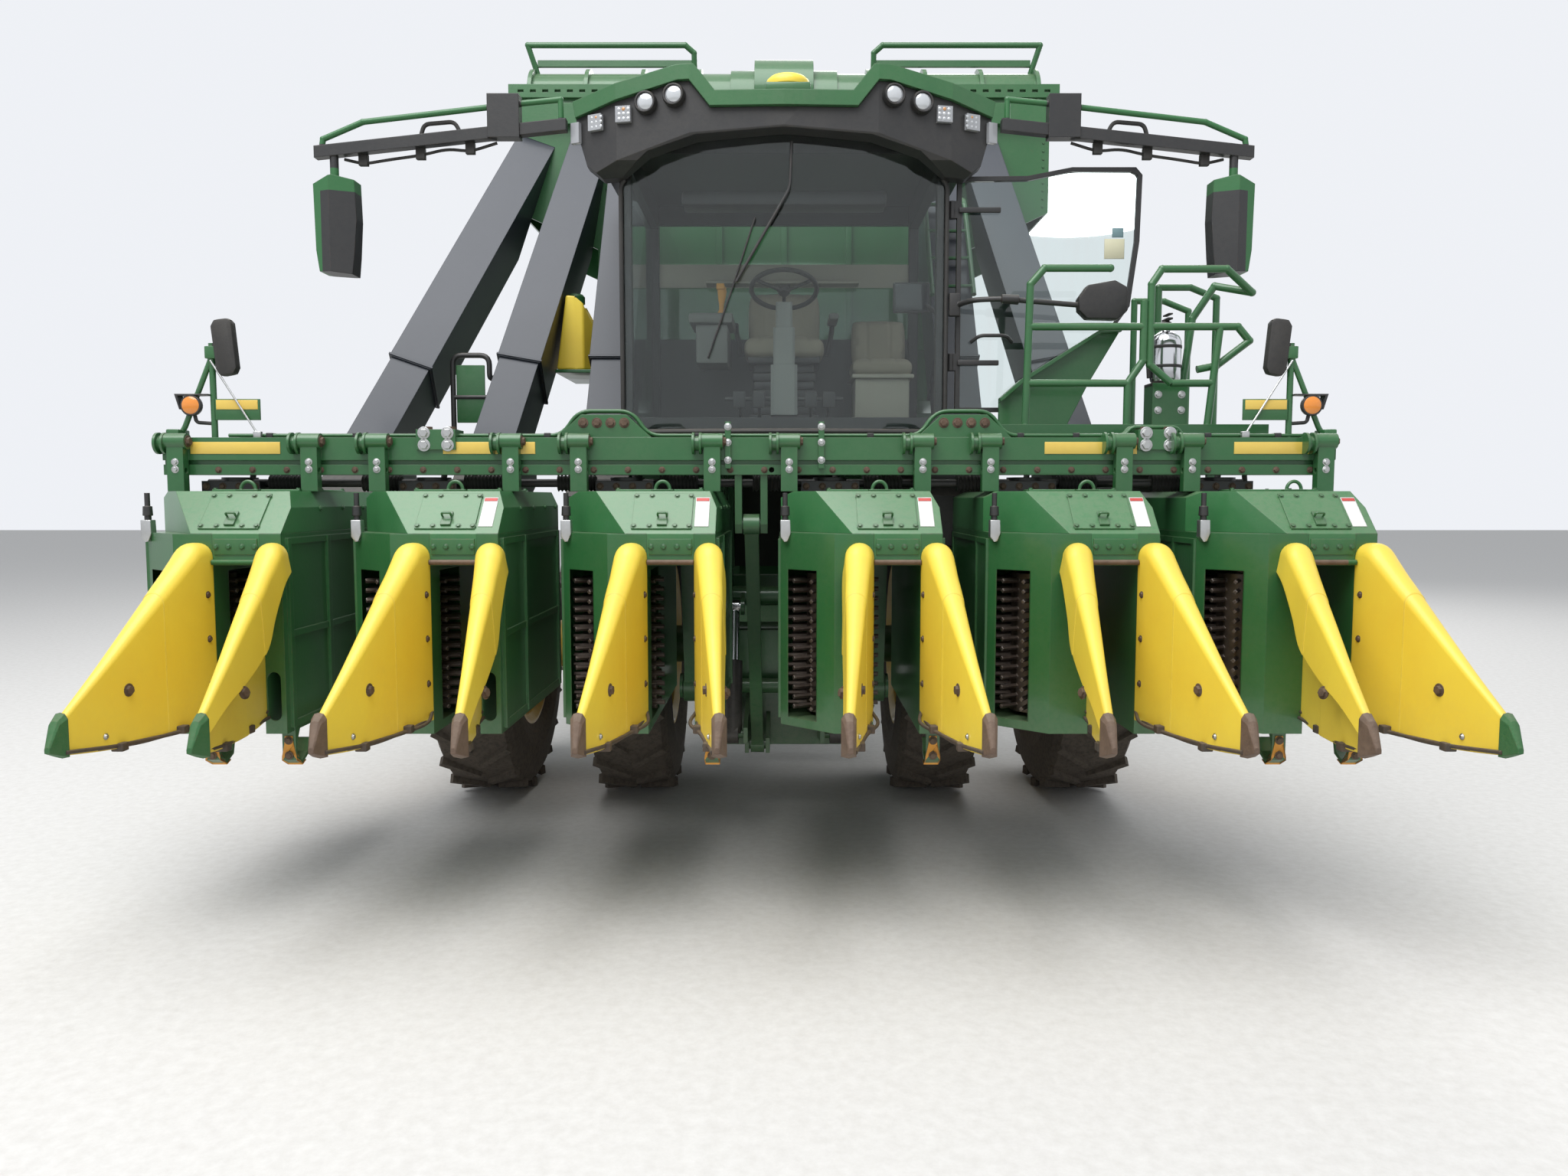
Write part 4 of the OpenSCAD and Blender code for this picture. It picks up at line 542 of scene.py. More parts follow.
def make_bolt_heads():
    """The tree: a head on a thin washer at each point, turned and sized by its attributes."""
    tree = bpy.data.node_groups.new("bolt_heads", "GeometryNodeTree")
    tree.interface.new_socket("Geometry", in_out="INPUT", socket_type="NodeSocketGeometry")
    for label, default in (("Radius", 0.012), ("Height", 0.009), ("Washer", 0.018)):
        made = tree.interface.new_socket(label, in_out="INPUT", socket_type="NodeSocketFloat")
        made.default_value = default
    sides = tree.interface.new_socket("Sides", in_out="INPUT", socket_type="NodeSocketInt")
    sides.default_value = 6
    tree.interface.new_socket("Finish", in_out="INPUT", socket_type="NodeSocketMaterial")
    tree.interface.new_socket("Geometry", in_out="OUTPUT", socket_type="NodeSocketGeometry")
    given = tree.nodes.new("NodeGroupInput").outputs
    result = tree.nodes.new("NodeGroupOutput").inputs
    head = node(tree, "GeometryNodeMeshCylinder", Vertices=given["Sides"],
                Radius=given["Radius"], Depth=given["Height"])
    washer_height = node(tree, "ShaderNodeMath", {"operation": "MULTIPLY"}, _0=given["Height"],
                         _1=0.3).outputs[0]
    washer = node(tree, "GeometryNodeMeshCylinder", Vertices=16, Radius=given["Washer"],
                  Depth=washer_height)
    lift = node(tree, "ShaderNodeMath", {"operation": "MULTIPLY"}, _0=given["Height"],
                _1=0.5).outputs[0]
    place = node(tree, "ShaderNodeCombineXYZ", _2=lift).outputs[0]
    raised = node(tree, "GeometryNodeTransform", Geometry=head.outputs[0], Translation=place)
    joined = node(tree, "GeometryNodeJoinGeometry")
    tree.links.new(raised.outputs[0], joined.inputs[0])
    tree.links.new(washer.outputs[0], joined.inputs[0])
    facing = node(tree, "GeometryNodeInputNamedAttribute", {"data_type": "FLOAT_VECTOR"},
                  Name="facing").outputs[0]
    turn = node(tree, "FunctionNodeAlignRotationToVector", {"axis": "Z"}, Vector=facing)
    size = node(tree, "GeometryNodeInputNamedAttribute", {"data_type": "FLOAT"},
                Name="size").outputs[0]
    spread = node(tree, "GeometryNodeInstanceOnPoints", Points=given["Geometry"],
                  Instance=joined.outputs[0], Rotation=turn.outputs[0], Scale=size)
    solid = node(tree, "GeometryNodeRealizeInstances", Geometry=spread.outputs[0])
    painted = node(tree, "GeometryNodeSetMaterial", Geometry=solid.outputs[0],
                   Material=given["Finish"])
    tree.links.new(painted.outputs[0], result[0])
    return tree


def socket_identifier(tree, label):
    """The identifier of a node tree's input, from its label."""
    for item in tree.interface.items_tree:
        if item.name == label and item.in_out == "INPUT":
            return item.identifier
    raise KeyError(label)


def grown_mesh(name, mesh, tree, values):
    """What a geometry tree makes of a mesh, as a plain mesh."""
    grown = bpy.data.objects.new(name, mesh)
    bpy.context.collection.objects.link(grown)
    modifier = grown.modifiers.new("made", "NODES")
    modifier.node_group = tree
    for label, value in values.items():
        modifier[socket_identifier(tree, label)] = value
    depsgraph = bpy.context.evaluated_depsgraph_get()
    plain = bpy.data.meshes.new_from_object(grown.evaluated_get(depsgraph))
    grown.modifiers.clear()
    bpy.data.objects.remove(grown)
    return plain


BOLT_HEADS = make_bolt_heads()


def set_bolts(name, body, slot, spots, finish=None, radius=0.012, height=0.009, washer=0.018,
              sides=6):
    """Bolt heads on a body: each spot is a place, the way it faces and its size."""
    mesh = bpy.data.meshes.new(name)
    mesh.from_pydata([at(*place) for place, facing, size in spots], [], [])
    facing = mesh.attributes.new("facing", "FLOAT_VECTOR", "POINT")
    facing.data.foreach_set("vector", [c for spot in spots for c in Vector(spot[1]).normalized()])
    size = mesh.attributes.new("size", "FLOAT", "POINT")
    size.data.foreach_set("value", [spot[2] for spot in spots])
    values = {"Radius": radius, "Height": height, "Washer": washer, "Sides": sides,
              "Finish": finish or FINISH[slot]}
    plain = grown_mesh(name, mesh, BOLT_HEADS, values)
    plain.name = name
    return finish_piece(name, plain, body, slot, finish)


# Measures that repeat those of the part's source, in millimetres

ROW_PITCH = 965.0
MIDDLE_PITCH = 1010.0
ROWS = [(i - 2.5) * ROW_PITCH + (-1 if i < 3 else 1) * (MIDDLE_PITCH - ROW_PITCH) / 2
        for i in range(6)]
OPENING_Y = -2670.0
COVER_TOP = 2000.0
CABINET_TOP = 1810.0
BEAM_FRONT = -2200.0
BEAM_TOP = 2260.0
HOOK_OFFSET = 175
CAB_FRONT = -1560.0
SHIELD_HALF = 868
SHIELD_BOW = 110
SHIELD_SKIN = 8.3
ROOF_FRONT = CAB_FRONT - 250
ROOF_Z = 3850.0
ON_CAB_FLOOR = 2400.3
DIVIDER_TOP = 1775.0
MIRROR_BAR_ROOT = (1130, 3870)
DUCT_FOOT = (-800, 2240)
DUCT_SLOPE = 0.65
SLEEVE_HALF = (132.3, 212.3)
SLEEVE_END = 566
ACCUMULATOR_FRONT = 380
ACCUMULATOR_REAR = 2250
ACCUMULATOR_HALF = 1840
ACCUMULATOR_LOWER_HALF = 1300
SIDE_COVER_HALF = 1150
BALER = (3780.0, 3000.0)
BALER_HALF = 1240.0
AXLE_Z = 975
FRONT_WHEELS_X = (965, 1930)
SIDES = (-1, 1)

# The wheels' names are as seen from the operator's seat, so the left ones lie at +X
WHEEL_SIDES = (("left", 1), ("right", -1))


def measured(name):
    """A node's lowest and highest corners in millimetres on the machine."""
    low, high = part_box(name)
    return (low - SHIFT) * 1000, (high - SHIFT) * 1000


# Dividers. Each station: distance ahead of the opening, drop of the ridge, inner edge, width,
# and the heights of the outer and of the inner lower edge

DIVIDER_STATIONS = [
    (0.3, 5, 104, 128, 1640, 975), (70, 8, 116, 122, 1600, 972), (130, 55, 127, 114, 1540, 969),
    (200, 112, 139, 104, 1450, 967), (290, 182, 153, 96, 1330, 965),
    (480, 328, 182, 74, 1230, 972), (670, 474, 211, 54, 1165, 985),
    (860, 612, 238, 38, 1080, 1010)]
SHELL = 8.0
SHELL_ROWS = 43
SEAM_ROW = 26
SEAM_INSET = 2.5

ROD_ROUTES = [[(238, -3548, 1024), (212, -3300, 992), (150, -2960, 972), (84, -2800, 984),
               (112, -2666, 1012)],
              [(222, -3380, 1000), (188, -3160, 976), (132, -2880, 976), (118, -2666, 984)]]
ROD_CLAMPS = ((206, -3260), (141, -2920))


def eased(stations, count):
    """Rows through the stations along a smooth curve, from the first to the last."""
    rows = []
    for i in range(count):
        s = i / (count - 1) * (len(stations) - 1)
        k = min(int(s), len(stations) - 2)
        t = s - k
        four = [stations[max(k - 1, 0)], stations[k], stations[k + 1],
                stations[min(k + 2, len(stations) - 1)]]
        row = []
        for a, b, c, d in zip(*four):
            row.append(b + 0.5 * t * (c - a + t * (2 * a - 5 * b + 4 * c - d
                                                   + t * (3 * (b - c) + d - a))))
        rows.append(row)
    return rows


def divider_section(row, inward):
    """Points of a divider's skin at one station, drawn in by its thickness."""
    ahead, drop, inner, width, skirt, low = row
    radius = width / 2 - inward
    top = DIVIDER_TOP - drop - width / 2
    points = [(inner + inward, low)]
    for i in range(13):
        turn = math.radians(180 - 15 * i)
        points.append((inner + width / 2 + radius * math.cos(turn),
                       top + radius * math.sin(turn)))
    points.append((inner + width + 12 - inward, skirt))
    return [(x, OPENING_Y - ahead, z) for x, z in points]


def make_dividers():
    """Two hollow dividers a unit, each of a rear part and a slightly smaller front part."""
    rows = eased(DIVIDER_STATIONS, SHELL_ROWS)
    made = bmesh.new()
    for row_x in ROWS:
        for side in SIDES:
            for part, inset in ((rows[:SEAM_ROW], 0.0), (rows[SEAM_ROW - 2:], SEAM_INSET)):
                rings = []
                for row in part:
                    outer = divider_section(row, inset)
                    inner = divider_section(row, SHELL + inset)
                    ring = outer + list(reversed(inner))
                    rings.append([at(row_x + side * x, y, z) for x, y, z in ring])
                add_loft(made, rings)
    finish_piece("divider_shells", made, "header", "yellow_plastic", smooth=50,
                 replaced=["dividers"])


def divider_bolts():
    """Bolts on each divider: three beside the throat, a pivot's two, and one near the tip."""
    dark = []
    bright = []
    for row_x in ROWS:
        for side in SIDES:
            for z in (1542, 1346, 1145):
                dark.append(((row_x + side * 112, -2712, z), (-side, -0.2, 0), 0.9))
            dark.append(((row_x + side * 193, -3205, 1201), (-side, -0.155, 0), 1.5))
            dark.append(((row_x + side * 271, -3205, 1190), (side, -0.3, 0.2), 1.5))
            bright.append(((row_x + side * 211, -3340, 1040), (-side, -0.155, 0), 0.7))
    set_bolts("divider_pivot_bolts", "header", "rusty_iron", dark)
    set_bolts("divider_edge_bolts", "header", "rod_chrome", bright, FINISH["zinc"])


def make_divider_rods():
    """Bent round bars that lift low branches, a pair under each divider, with their clamps."""
    rods = bmesh.new()
    for row in ROWS:
        for side in SIDES:
            for route in ROD_ROUTES:
                add_pipe(rods, [(row + side * x, y, z) for x, y, z in route], 8, bend=70,
                         sides=10)
            for x, y in ROD_CLAMPS:
                add_block(rods, (row + side * (x - 24), y - 22, 966),
                          (row + side * (x + 24), y + 22, 1000), 5)
    finish_piece("divider_rods", rods, "header", "green_paint", FINISH["guard_iron"],
                 replaced=["divider_guards"])


# Row units: lids, latches and plates on the covers, bolts along the doors

COVER_RISE = 190
SLANT = 0.707


def cover_front(along, lift):
    """A place on a cover's slanted front: share of the slope, and height above it."""
    y = OPENING_Y + COVER_RISE * along
    z = CABINET_TOP + COVER_RISE * along
    return y - lift * SLANT, z + lift * SLANT


def slanted_panel(made, x0, x1, s0, s1, low, high):
    """A thin plate on a cover's slanted front, between two places on each axis."""
    y0, z0 = cover_front(s0, low)
    y1, z1 = cover_front(s1, low)
    y2, z2 = cover_front(s1, high)
    y3, z3 = cover_front(s0, high)
    rings = [[at(x0, y0, z0), at(x0, y1, z1), at(x1, y1, z1), at(x1, y0, z0)],
             [at(x0, y3, z3), at(x0, y2, z2), at(x1, y2, z2), at(x1, y3, z3)]]
    add_loft(made, rings)


def make_cover_details():
    """Lids, plates, latches, lifting rings and bolts of the covers, and the throats' bands."""
    lids = bmesh.new()
    latches = bmesh.new()
    plates = bmesh.new()
    marks = bmesh.new()
    bands = bmesh.new()
    bolts = []
    for x in ROWS:
        slanted_panel(lids, x - 176, x + 92, 0.10, 0.92, 0, 7)
        if x > ROWS[0]:
            slanted_panel(plates, x + 104, x + 168, 0.16, 0.84, 0, 2.5)
            slanted_panel(marks, x + 107, x + 165, 0.75, 0.82, 2, 4)
        # Latch with its lever, in the middle of the lid's lower edge
        slanted_panel(latches, x - 62, x - 18, 0.16, 0.46, 7, 17)
        y, z = cover_front(0.34, 20)
        add_pipe(latches, [(x - 60, y, z), (x - 60, y - 14, z + 14), (x - 20, y - 14, z + 14),
                           (x - 20, y, z)], 5, bend=12)
        # Lifting ring on top, with its foot
        ring = []
        for i in range(13):
            turn = math.pi * i / 12
            ring.append((x - 60 + 34 * math.cos(turn), -2405,
                         COVER_TOP + 6 + 40 * math.sin(turn)))
        add_pipe(latches, ring, 8, bend=4)
        add_block(latches, (x - 112, -2425, COVER_TOP), (x - 8, -2385, COVER_TOP + 9))
        # Top lid behind the slope, with rounded edges
        add_block(lids, (x - 300, -2270, COVER_TOP - 2), (x + 120, -1700, COVER_TOP + 10), 6)
        add_block(bands, (x - 96, OPENING_Y - 7, 1716), (x + 96, OPENING_Y + 4, 1788), 2)
        for along in (0.16, 0.86):
            for dx in (-166, -96, 18, 82):
                y, z = cover_front(along, 7)
                bolts.append(((x + dx, y, z), (0, -SLANT, SLANT), 0.75))
        for dx in (-86, -30, 30, 86):
            bolts.append(((x + dx, OPENING_Y - 7, 1752), (0, -1, 0), 0.8))
        for dy in (-2255, -1985, -1715):
            for dx in (-288, 108):
                bolts.append(((x + dx, dy, COVER_TOP + 10), (0, 0, 1), 0.8))
        for y in (-2230, -1950, -1670, -1400):
            bolts.append(((x + 200, y, 1920), (1, 0, 0.3), 0.8))
    finish_piece("cover_lids", lids, "header", "light_green_paint")
    finish_piece("cover_latches", latches, "header", "green_paint")
    finish_piece("cover_plates", plates, "header", "lamp_glass", FINISH["white_plate"])
    finish_piece("cover_plate_bands", marks, "header", "lamp_glass", FINISH["red_band"])
    finish_piece("throat_bands", bands, "header", "light_green_paint", FINISH["chipped_green"])
    set_bolts("cover_bolts", "header", "green_paint", bolts)


# Hooks that carry a wear plate: the unit, and the hook's side of it
PLATED_HOOKS = ((0, -1), (0, 1), (2, 1), (3, 1), (5, -1), (5, 1))


def make_shoe_plates():
    """Orange wear plates, narrow at the top, round the hooks below some units."""
    plates = bmesh.new()
    bolts = []
    y = OPENING_Y + 70
    for row, side in PLATED_HOOKS:
        x = ROWS[row] + side * HOOK_OFFSET
        skins = []
        for depth in (0.3, 5.0):
            rows = ((17, y - depth, 886), (20, y - depth, 850), (33, y - depth, 792),
                    (34, y - depth, 773), (34, y + 60 - depth * 0.4, 744.5 - depth),
                    (34, y + 96, 757 - depth))
            ring = [at(x - half, py, pz) for half, py, pz in rows]
            ring += [at(x + half, py, pz) for half, py, pz in reversed(rows)]
            skins.append(ring)
        add_loft(plates, skins)
        for z in (796, 866):
            bolts.append(((x, y - 5, z), (0, -1, 0), 1.1))
    finish_piece("shoe_plates", plates, "header", "yellow_paint", FINISH["orange_paint"])
    set_bolts("shoe_bolts", "header", "rusty_iron", bolts)


# Toolbar: stripes, bolts, pipes and hoses, the sets at its ends, bellows, the units' lamps

STRIPES = [(-2864, -2430), (-1645, -1200), (1257, 1703), (2171, 2628)]
BEAM_CLAMPS_X = (-1771, 1705)
BEAM_STRAPS_X = (-270, 180)
BEAM_BLOCK_X = 870


def make_toolbar_details():
    """Stripes on the toolbar's front, and the bolts of all that is clamped to it."""
    stripes = bmesh.new()
    bolts = []
    dark = []
    for low, high in STRIPES:
        add_block(stripes, (low, BEAM_FRONT - 2.5, 2180), (high, BEAM_FRONT + 1, 2238), 0.8)
    for x in [row - 480 for row in ROWS] + [row + 160 for row in ROWS]:
        for z in (2105, 2140):
            bolts.append(((x, BEAM_FRONT - 50, z), (0, -1, 0), 1.0))
        dark.append(((x + 52, BEAM_FRONT - 25, 2240), (1, 0, 0), 1.6))
    for x in BEAM_CLAMPS_X:
        for dx in (38, 152):
            for z in (2222, 2280):
                bolts.append(((x + dx, BEAM_FRONT - 12, z), (0, -1, 0), 1.7))
            dark.append(((x + dx, BEAM_FRONT + 60, 2298), (0, 0, 1), 1.8))
    for x in BEAM_STRAPS_X:
        for z in (2150, 2235, 2310):
            bolts.append(((x, BEAM_FRONT - 16, z), (0, -1, 0), 1.0))
    for side in SIDES:
        for dx in (-180, -60, 60, 180):
            x = side * BEAM_BLOCK_X + dx * 0.55
            dark.append(((x, BEAM_FRONT + 10, 2330), (0, -1, 0), 1.4))
    for i in range(34):
        x = -2900 + i * 165
        dark.append(((x, BEAM_FRONT + 6, 2104), (0, -1, 0), 0.9))
    finish_piece("toolbar_stripes", stripes, "header", "yellow_paint", FINISH["stripe_film"])
    set_bolts("toolbar_bolts", "header", "rod_chrome", bolts, FINISH["zinc"])
    set_bolts("toolbar_dark_bolts", "header", "rusty_iron", dark)


def make_toolbar_pipes():
    """Steel pipes and hoses clipped along the toolbar's top and rear."""
    pipes = bmesh.new()
    hoses = bmesh.new()
    clips = bmesh.new()
    z = BEAM_TOP + 12
    for i in range(3):
        y = BEAM_FRONT + 52 + i * 26
        add_pipe(pipes, [(-2700 + i * 40, y, z), (-1080, y, z), (-1000, y, z + 118),
                         (-740, y, z + 118), (-660, y, z), (660, y, z), (740, y, z + 118),
                         (1000, y, z + 118), (1080, y, z), (1660, y, z), (1690, y, z + 40),
                         (1910, y, z + 40), (1940, y, z), (2560 - i * 40, y, z)], 9)
    for row in ROWS:
        x = row - 275
        add_pipe(hoses, [(x + 60, BEAM_FRONT + 120, 2240), (x + 60, BEAM_FRONT + 190, 2262),
                         (x + 40, BEAM_FRONT + 250, 2150), (x + 20, BEAM_FRONT + 240, 2010)], 15)
        add_pipe(hoses, [(x + 130, BEAM_FRONT + 120, 2225), (x + 135, BEAM_FRONT + 200, 2240),
                         (x + 170, BEAM_FRONT + 270, 2130), (x + 190, BEAM_FRONT + 290, 2008)],
                 13)
    for x in (-2500, -2080, -1420, -1150, -420, 420, 1150, 1420, 2060, 2400):
        add_block(clips, (x - 16, BEAM_FRONT + 38, BEAM_TOP - 1),
                  (x + 16, BEAM_FRONT + 118, BEAM_TOP + 24), 4)
    finish_piece("toolbar_pipes", pipes, "header", "green_paint")
    finish_piece("unit_hoses", hoses, "header", "black_paint", FINISH["hose_rubber"])
    finish_piece("toolbar_clips", clips, "header", "black_paint")


# Sets at the toolbar's ends: the post's place across, and which way is outward
END_SETS = [(-2772, -1), (2457, 1)]


def make_end_sets():
    """Posts at the toolbar's ends, each with a mirror, an amber lamp and a striped plate."""
    posts = bmesh.new()
    braces = bmesh.new()
    mirrors = bmesh.new()
    shields = bmesh.new()
    lamps = bmesh.new()
    plates = bmesh.new()
    stripes = bmesh.new()
    y = BEAM_FRONT + 60
    front = y - 16
    for x, out in END_SETS:
        add_pipe(posts, [(x, y, BEAM_TOP - 2), (x, y, 2715)], 15)
        add_pipe(posts, [(x + out * 185, y, 2262), (x + out * 150, y, 2300),
                         (x + out * 6, y, 2640), (x, y, 2690)], 13, bend=40)
        add_block(posts, (x - 26, y - 24, 2640), (x + 26, y + 24, 2700), 6)
        add_block(posts, (x + out * 212, y - 55, 2150), (x + out * 150, y + 55, 2300), 8)
        add_pipe(braces, [(x, y - 20, 2632), (x - out * 224, y - 34, 2276)], 5)
        add_block(braces, (x - out * 205, y - 46, BEAM_TOP - 2),
                  (x - out * 243, y - 20, 2290), 5)
        # Mirror's back, which leans outward at the top
        outline = [(-38, 132), (28, 140), (48, 120), (66, -96), (52, -128), (-12, -140),
                   (-34, -118), (-56, 100)]
        centre = (x - out * 63, 2694)
        add_plate(mirrors, [(centre[0] - out * u, centre[1] + v) for u, v in outline],
                  y - 30, y + 26, "y", 16)
        add_block(mirrors, (x, y - 12, 2664), (x - out * 60, y + 12, 2712), 4)
        # Lamp in its ring under a bent shield
        lamp = (x + out * 95, front, 2415)
        add_turned(shields, lamp, (0, -1, 0), [(0, 50), (18, 52), (24, 48), (24, 44)], 28)
        add_turned(lamps, (lamp[0], front - 16, lamp[2]), (0, -1, 0),
                   [(0, 44), (8, 42), (14, 30), (17, 6)], 28)
        add_plate(shields, [(x + out * 8, 2470), (x + out * 172, 2470), (x + out * 150, 2395),
                            (x + out * 142, 2395), (x + out * 158, 2462), (x + out * 8, 2462)],
                  y - 40, y + 12, "y", 2)
        add_pipe(shields, [(x + out * 95, y, 2372), (x + out * 88, y, 2335),
                           (x + out * 10, y, 2330)], 9, bend=20)
        add_block(plates, (x - out * 14, front - 3, 2345), (x - out * 232, front + 6, 2447), 2)
        add_block(stripes, (x - out * 20, front - 5, 2396), (x - out * 222, front, 2442), 1)
    finish_piece("end_set_posts", posts, "header", "green_paint")
    finish_piece("end_set_braces", braces, "header", "rod_chrome", FINISH["zinc"])
    finish_piece("end_set_mirrors", mirrors, "header", "black_paint", FINISH["hose_rubber"])
    finish_piece("end_set_shields", shields, "header", "black_paint")
    finish_piece("end_set_lamps", lamps, "header", "lamp_glass", FINISH["amber_glass"])
    finish_piece("end_set_plates", plates, "header", "green_paint")
    finish_piece("end_set_stripes", stripes, "header", "yellow_paint", FINISH["stripe_film"])


def make_drive_bellows():
    """Ribbed bellows on the drive shaft between the units' gear cases, and the cases' bolts."""
    bellows = bmesh.new()
    bolts = []
    y = BEAM_FRONT + 150
    for row in ROWS[:-1]:
        for start in (row - 110, row + 350):
            profile = []
            for i in range(22):
                profile.append((i * 9.0, 33 if i % 2 else 43))
            add_turned(bellows, (start, y, 2042), (1, 0, 0), profile, 20)
    for row in ROWS:
        for dx in (-120, -40, 40, 120):
            bolts.append(((row - 277 + dx, y - 75, 2026), (0, -1, 0), 1.0))
    finish_piece("drive_bellows", bellows, "header", "black_paint", FINISH["hose_rubber"])
    set_bolts("gear_case_bolts", "header", "rusty_iron", bolts)


def make_unit_lamps():
    """Small lamps that hang beside each unit's front left corner."""
    stems = bmesh.new()
    shells = bmesh.new()
    for row in ROWS:
        x = row - 500
        y = OPENING_Y + 205
        add_turned(stems, (x, y, 1992), (0, 0, -1),
                   [(0, 12), (60, 12), (62, 20), (104, 22), (106, 15), (130, 15)], 16)
        add_plate(shells, [(x - 22, 1868), (x + 24, 1868), (x + 26, 1806), (x + 12, 1770),
                           (x - 4, 1766), (x - 22, 1790)], y - 26, y + 22, "y", 4)
    finish_piece("unit_lamp_stems", stems, "header", "black_paint")
    finish_piece("unit_lamp_shells", shells, "header", "rod_chrome", FINISH["zinc"])


# Cab: seats, wheel, console and what hangs outside

PAD_LEVELS = 7
PAD_SIDE_STEPS = 14
VOXEL_SIZE = 0.009
CLOTH_FRAMES = 20
CLOTH_PRESSURE = 4.0
LARGEST_MOVE = 0.012
CHANNEL_DEPTH = 0.009
CHANNEL_WIDTH = 7.0


def crowned_pad(low, high, crown, pinch=14.0):
    """A closed pad that swells towards its middle, as a mesh grid over a box."""
    made = bmesh.new()
    rings = []
    for k in range(PAD_LEVELS):
        t = k / (PAD_LEVELS - 1)
        swell = math.sin(math.pi * min(max(t, 0.02), 0.98)) ** 0.5
        inset = pinch * (1 - swell) + (10 if k in (0, PAD_LEVELS - 1) else 0)
        ring = []
        for i in range(4 * PAD_SIDE_STEPS):
            side, step = divmod(i, PAD_SIDE_STEPS)
            s = step / PAD_SIDE_STEPS * 2 - 1
            bow = pinch * 0.8 * (1 - s * s)
            u, v = [(s, -1), (1, s), (-s, 1), (-1, -s)][side]
            corner = 1 - 0.06 * (abs(s) ** 6)
            x = (low[0] + high[0]) / 2 + u * corner * ((high[0] - low[0]) / 2 - inset)
            y = (low[1] + high[1]) / 2 + v * corner * ((high[1] - low[1]) / 2 - inset)
            if side in (0, 2):
                y += v * (bow - pinch * 0.8)
            else:
                x += u * (bow - pinch * 0.8)
            z = low[2] + (high[2] - low[2]) * t
            ring.append(at(x, y, z))
        rings.append(ring)
    add_loft(made, rings)
    middle = at((low[0] + high[0]) / 2, (low[1] + high[1]) / 2, 0)
    reach = max(high[0] - low[0], high[1] - low[1]) / 2000
    bmesh.ops.recalc_face_normals(made, faces=made.faces)
    caps = [face for face in made.faces if len(face.verts) > 4]
    for face in caps:
        bmesh.ops.inset_region(made, faces=[face], thickness=0.05, use_even_offset=True)
    bmesh.ops.triangulate(made, faces=[face for face in made.faces if len(face.verts) > 4])
    for vertex in made.verts:
        if vertex.co.z > at(0, 0, high[2] - 2).z:
            away = (vertex.co.xy - middle.xy).length
            vertex.co.z += crown / 1000 * max(0.0, 1 - (away / reach) ** 2)
    return made


def sewn_pad(name, low, high, crown, lean=0.0, pivot=(0, 0, 0), channels=()):
    """A seat pad blown up as cloth, with sewn channels pressed in after the swelling."""
    made = crowned_pad(low, high, crown)
    mesh = bpy.data.meshes.new(name)
    made.to_mesh(mesh)
    made.free()
    mesh = swollen_mesh(name, mesh)
    shaped = bmesh.new()
    shaped.from_mesh(mesh)
    width = high[0] - low[0]
    for vertex in shaped.verts:
        across = (vertex.co.x - at(low[0], 0, 0).x) * 1000 / width
        top = vertex.co.z > at(0, 0, (low[2] + high[2]) / 2).z
        for share in channels:
            depth = math.exp(-((across - share) * width / CHANNEL_WIDTH) ** 2)
            if top:
                vertex.co.z -= CHANNEL_DEPTH * depth
    turn = Matrix.Translation(at(*pivot)) @ Matrix.Rotation(math.radians(lean), 4, "X")
    turn = turn @ Matrix.Translation(-at(*pivot))
    bmesh.ops.transform(shaped, matrix=turn, verts=shaped.verts)
    pad = finish_piece(name, shaped, "machine", "seat_fabric", smooth=60)
    finer = pad.modifiers.new("finer", "SUBSURF")
    finer.levels = 1
    finer.render_levels = 1
    return pad


def swollen_mesh(name, mesh):
    """The mesh remeshed evenly and blown up as cloth, no point moved further than it may."""
    scene = bpy.context.scene
    blown = bpy.data.objects.new(name + "_blown", mesh)
    bpy.context.collection.objects.link(blown)
    remesh = blown.modifiers.new("even", "REMESH")
    remesh.mode = "VOXEL"
    remesh.voxel_size = VOXEL_SIZE
    depsgraph = bpy.context.evaluated_depsgraph_get()
    even = bpy.data.meshes.new_from_object(blown.evaluated_get(depsgraph))
    blown.modifiers.clear()
    blown.data = even
    before = [vertex.co.copy() for vertex in even.vertices]
    cloth = blown.modifiers.new("cloth", "CLOTH")
    cloth.settings.use_pressure = True
    cloth.settings.uniform_pressure_force = CLOTH_PRESSURE
    cloth.settings.quality = 4
    cloth.settings.effector_weights.gravity = 0.0
    cloth.point_cache.frame_start = 1
    cloth.point_cache.frame_end = CLOTH_FRAMES
    for frame_number in range(1, CLOTH_FRAMES + 1):
        scene.frame_set(frame_number)
    depsgraph = bpy.context.evaluated_depsgraph_get()
    result = bpy.data.meshes.new_from_object(blown.evaluated_get(depsgraph))
    scene.frame_set(1)
    blown.modifiers.clear()
    bpy.data.objects.remove(blown)
    for vertex, old in zip(result.vertices, before):
        move = vertex.co - old
        if move.length > LARGEST_MOVE:
            vertex.co = old + move.normalized() * LARGEST_MOVE
    return result


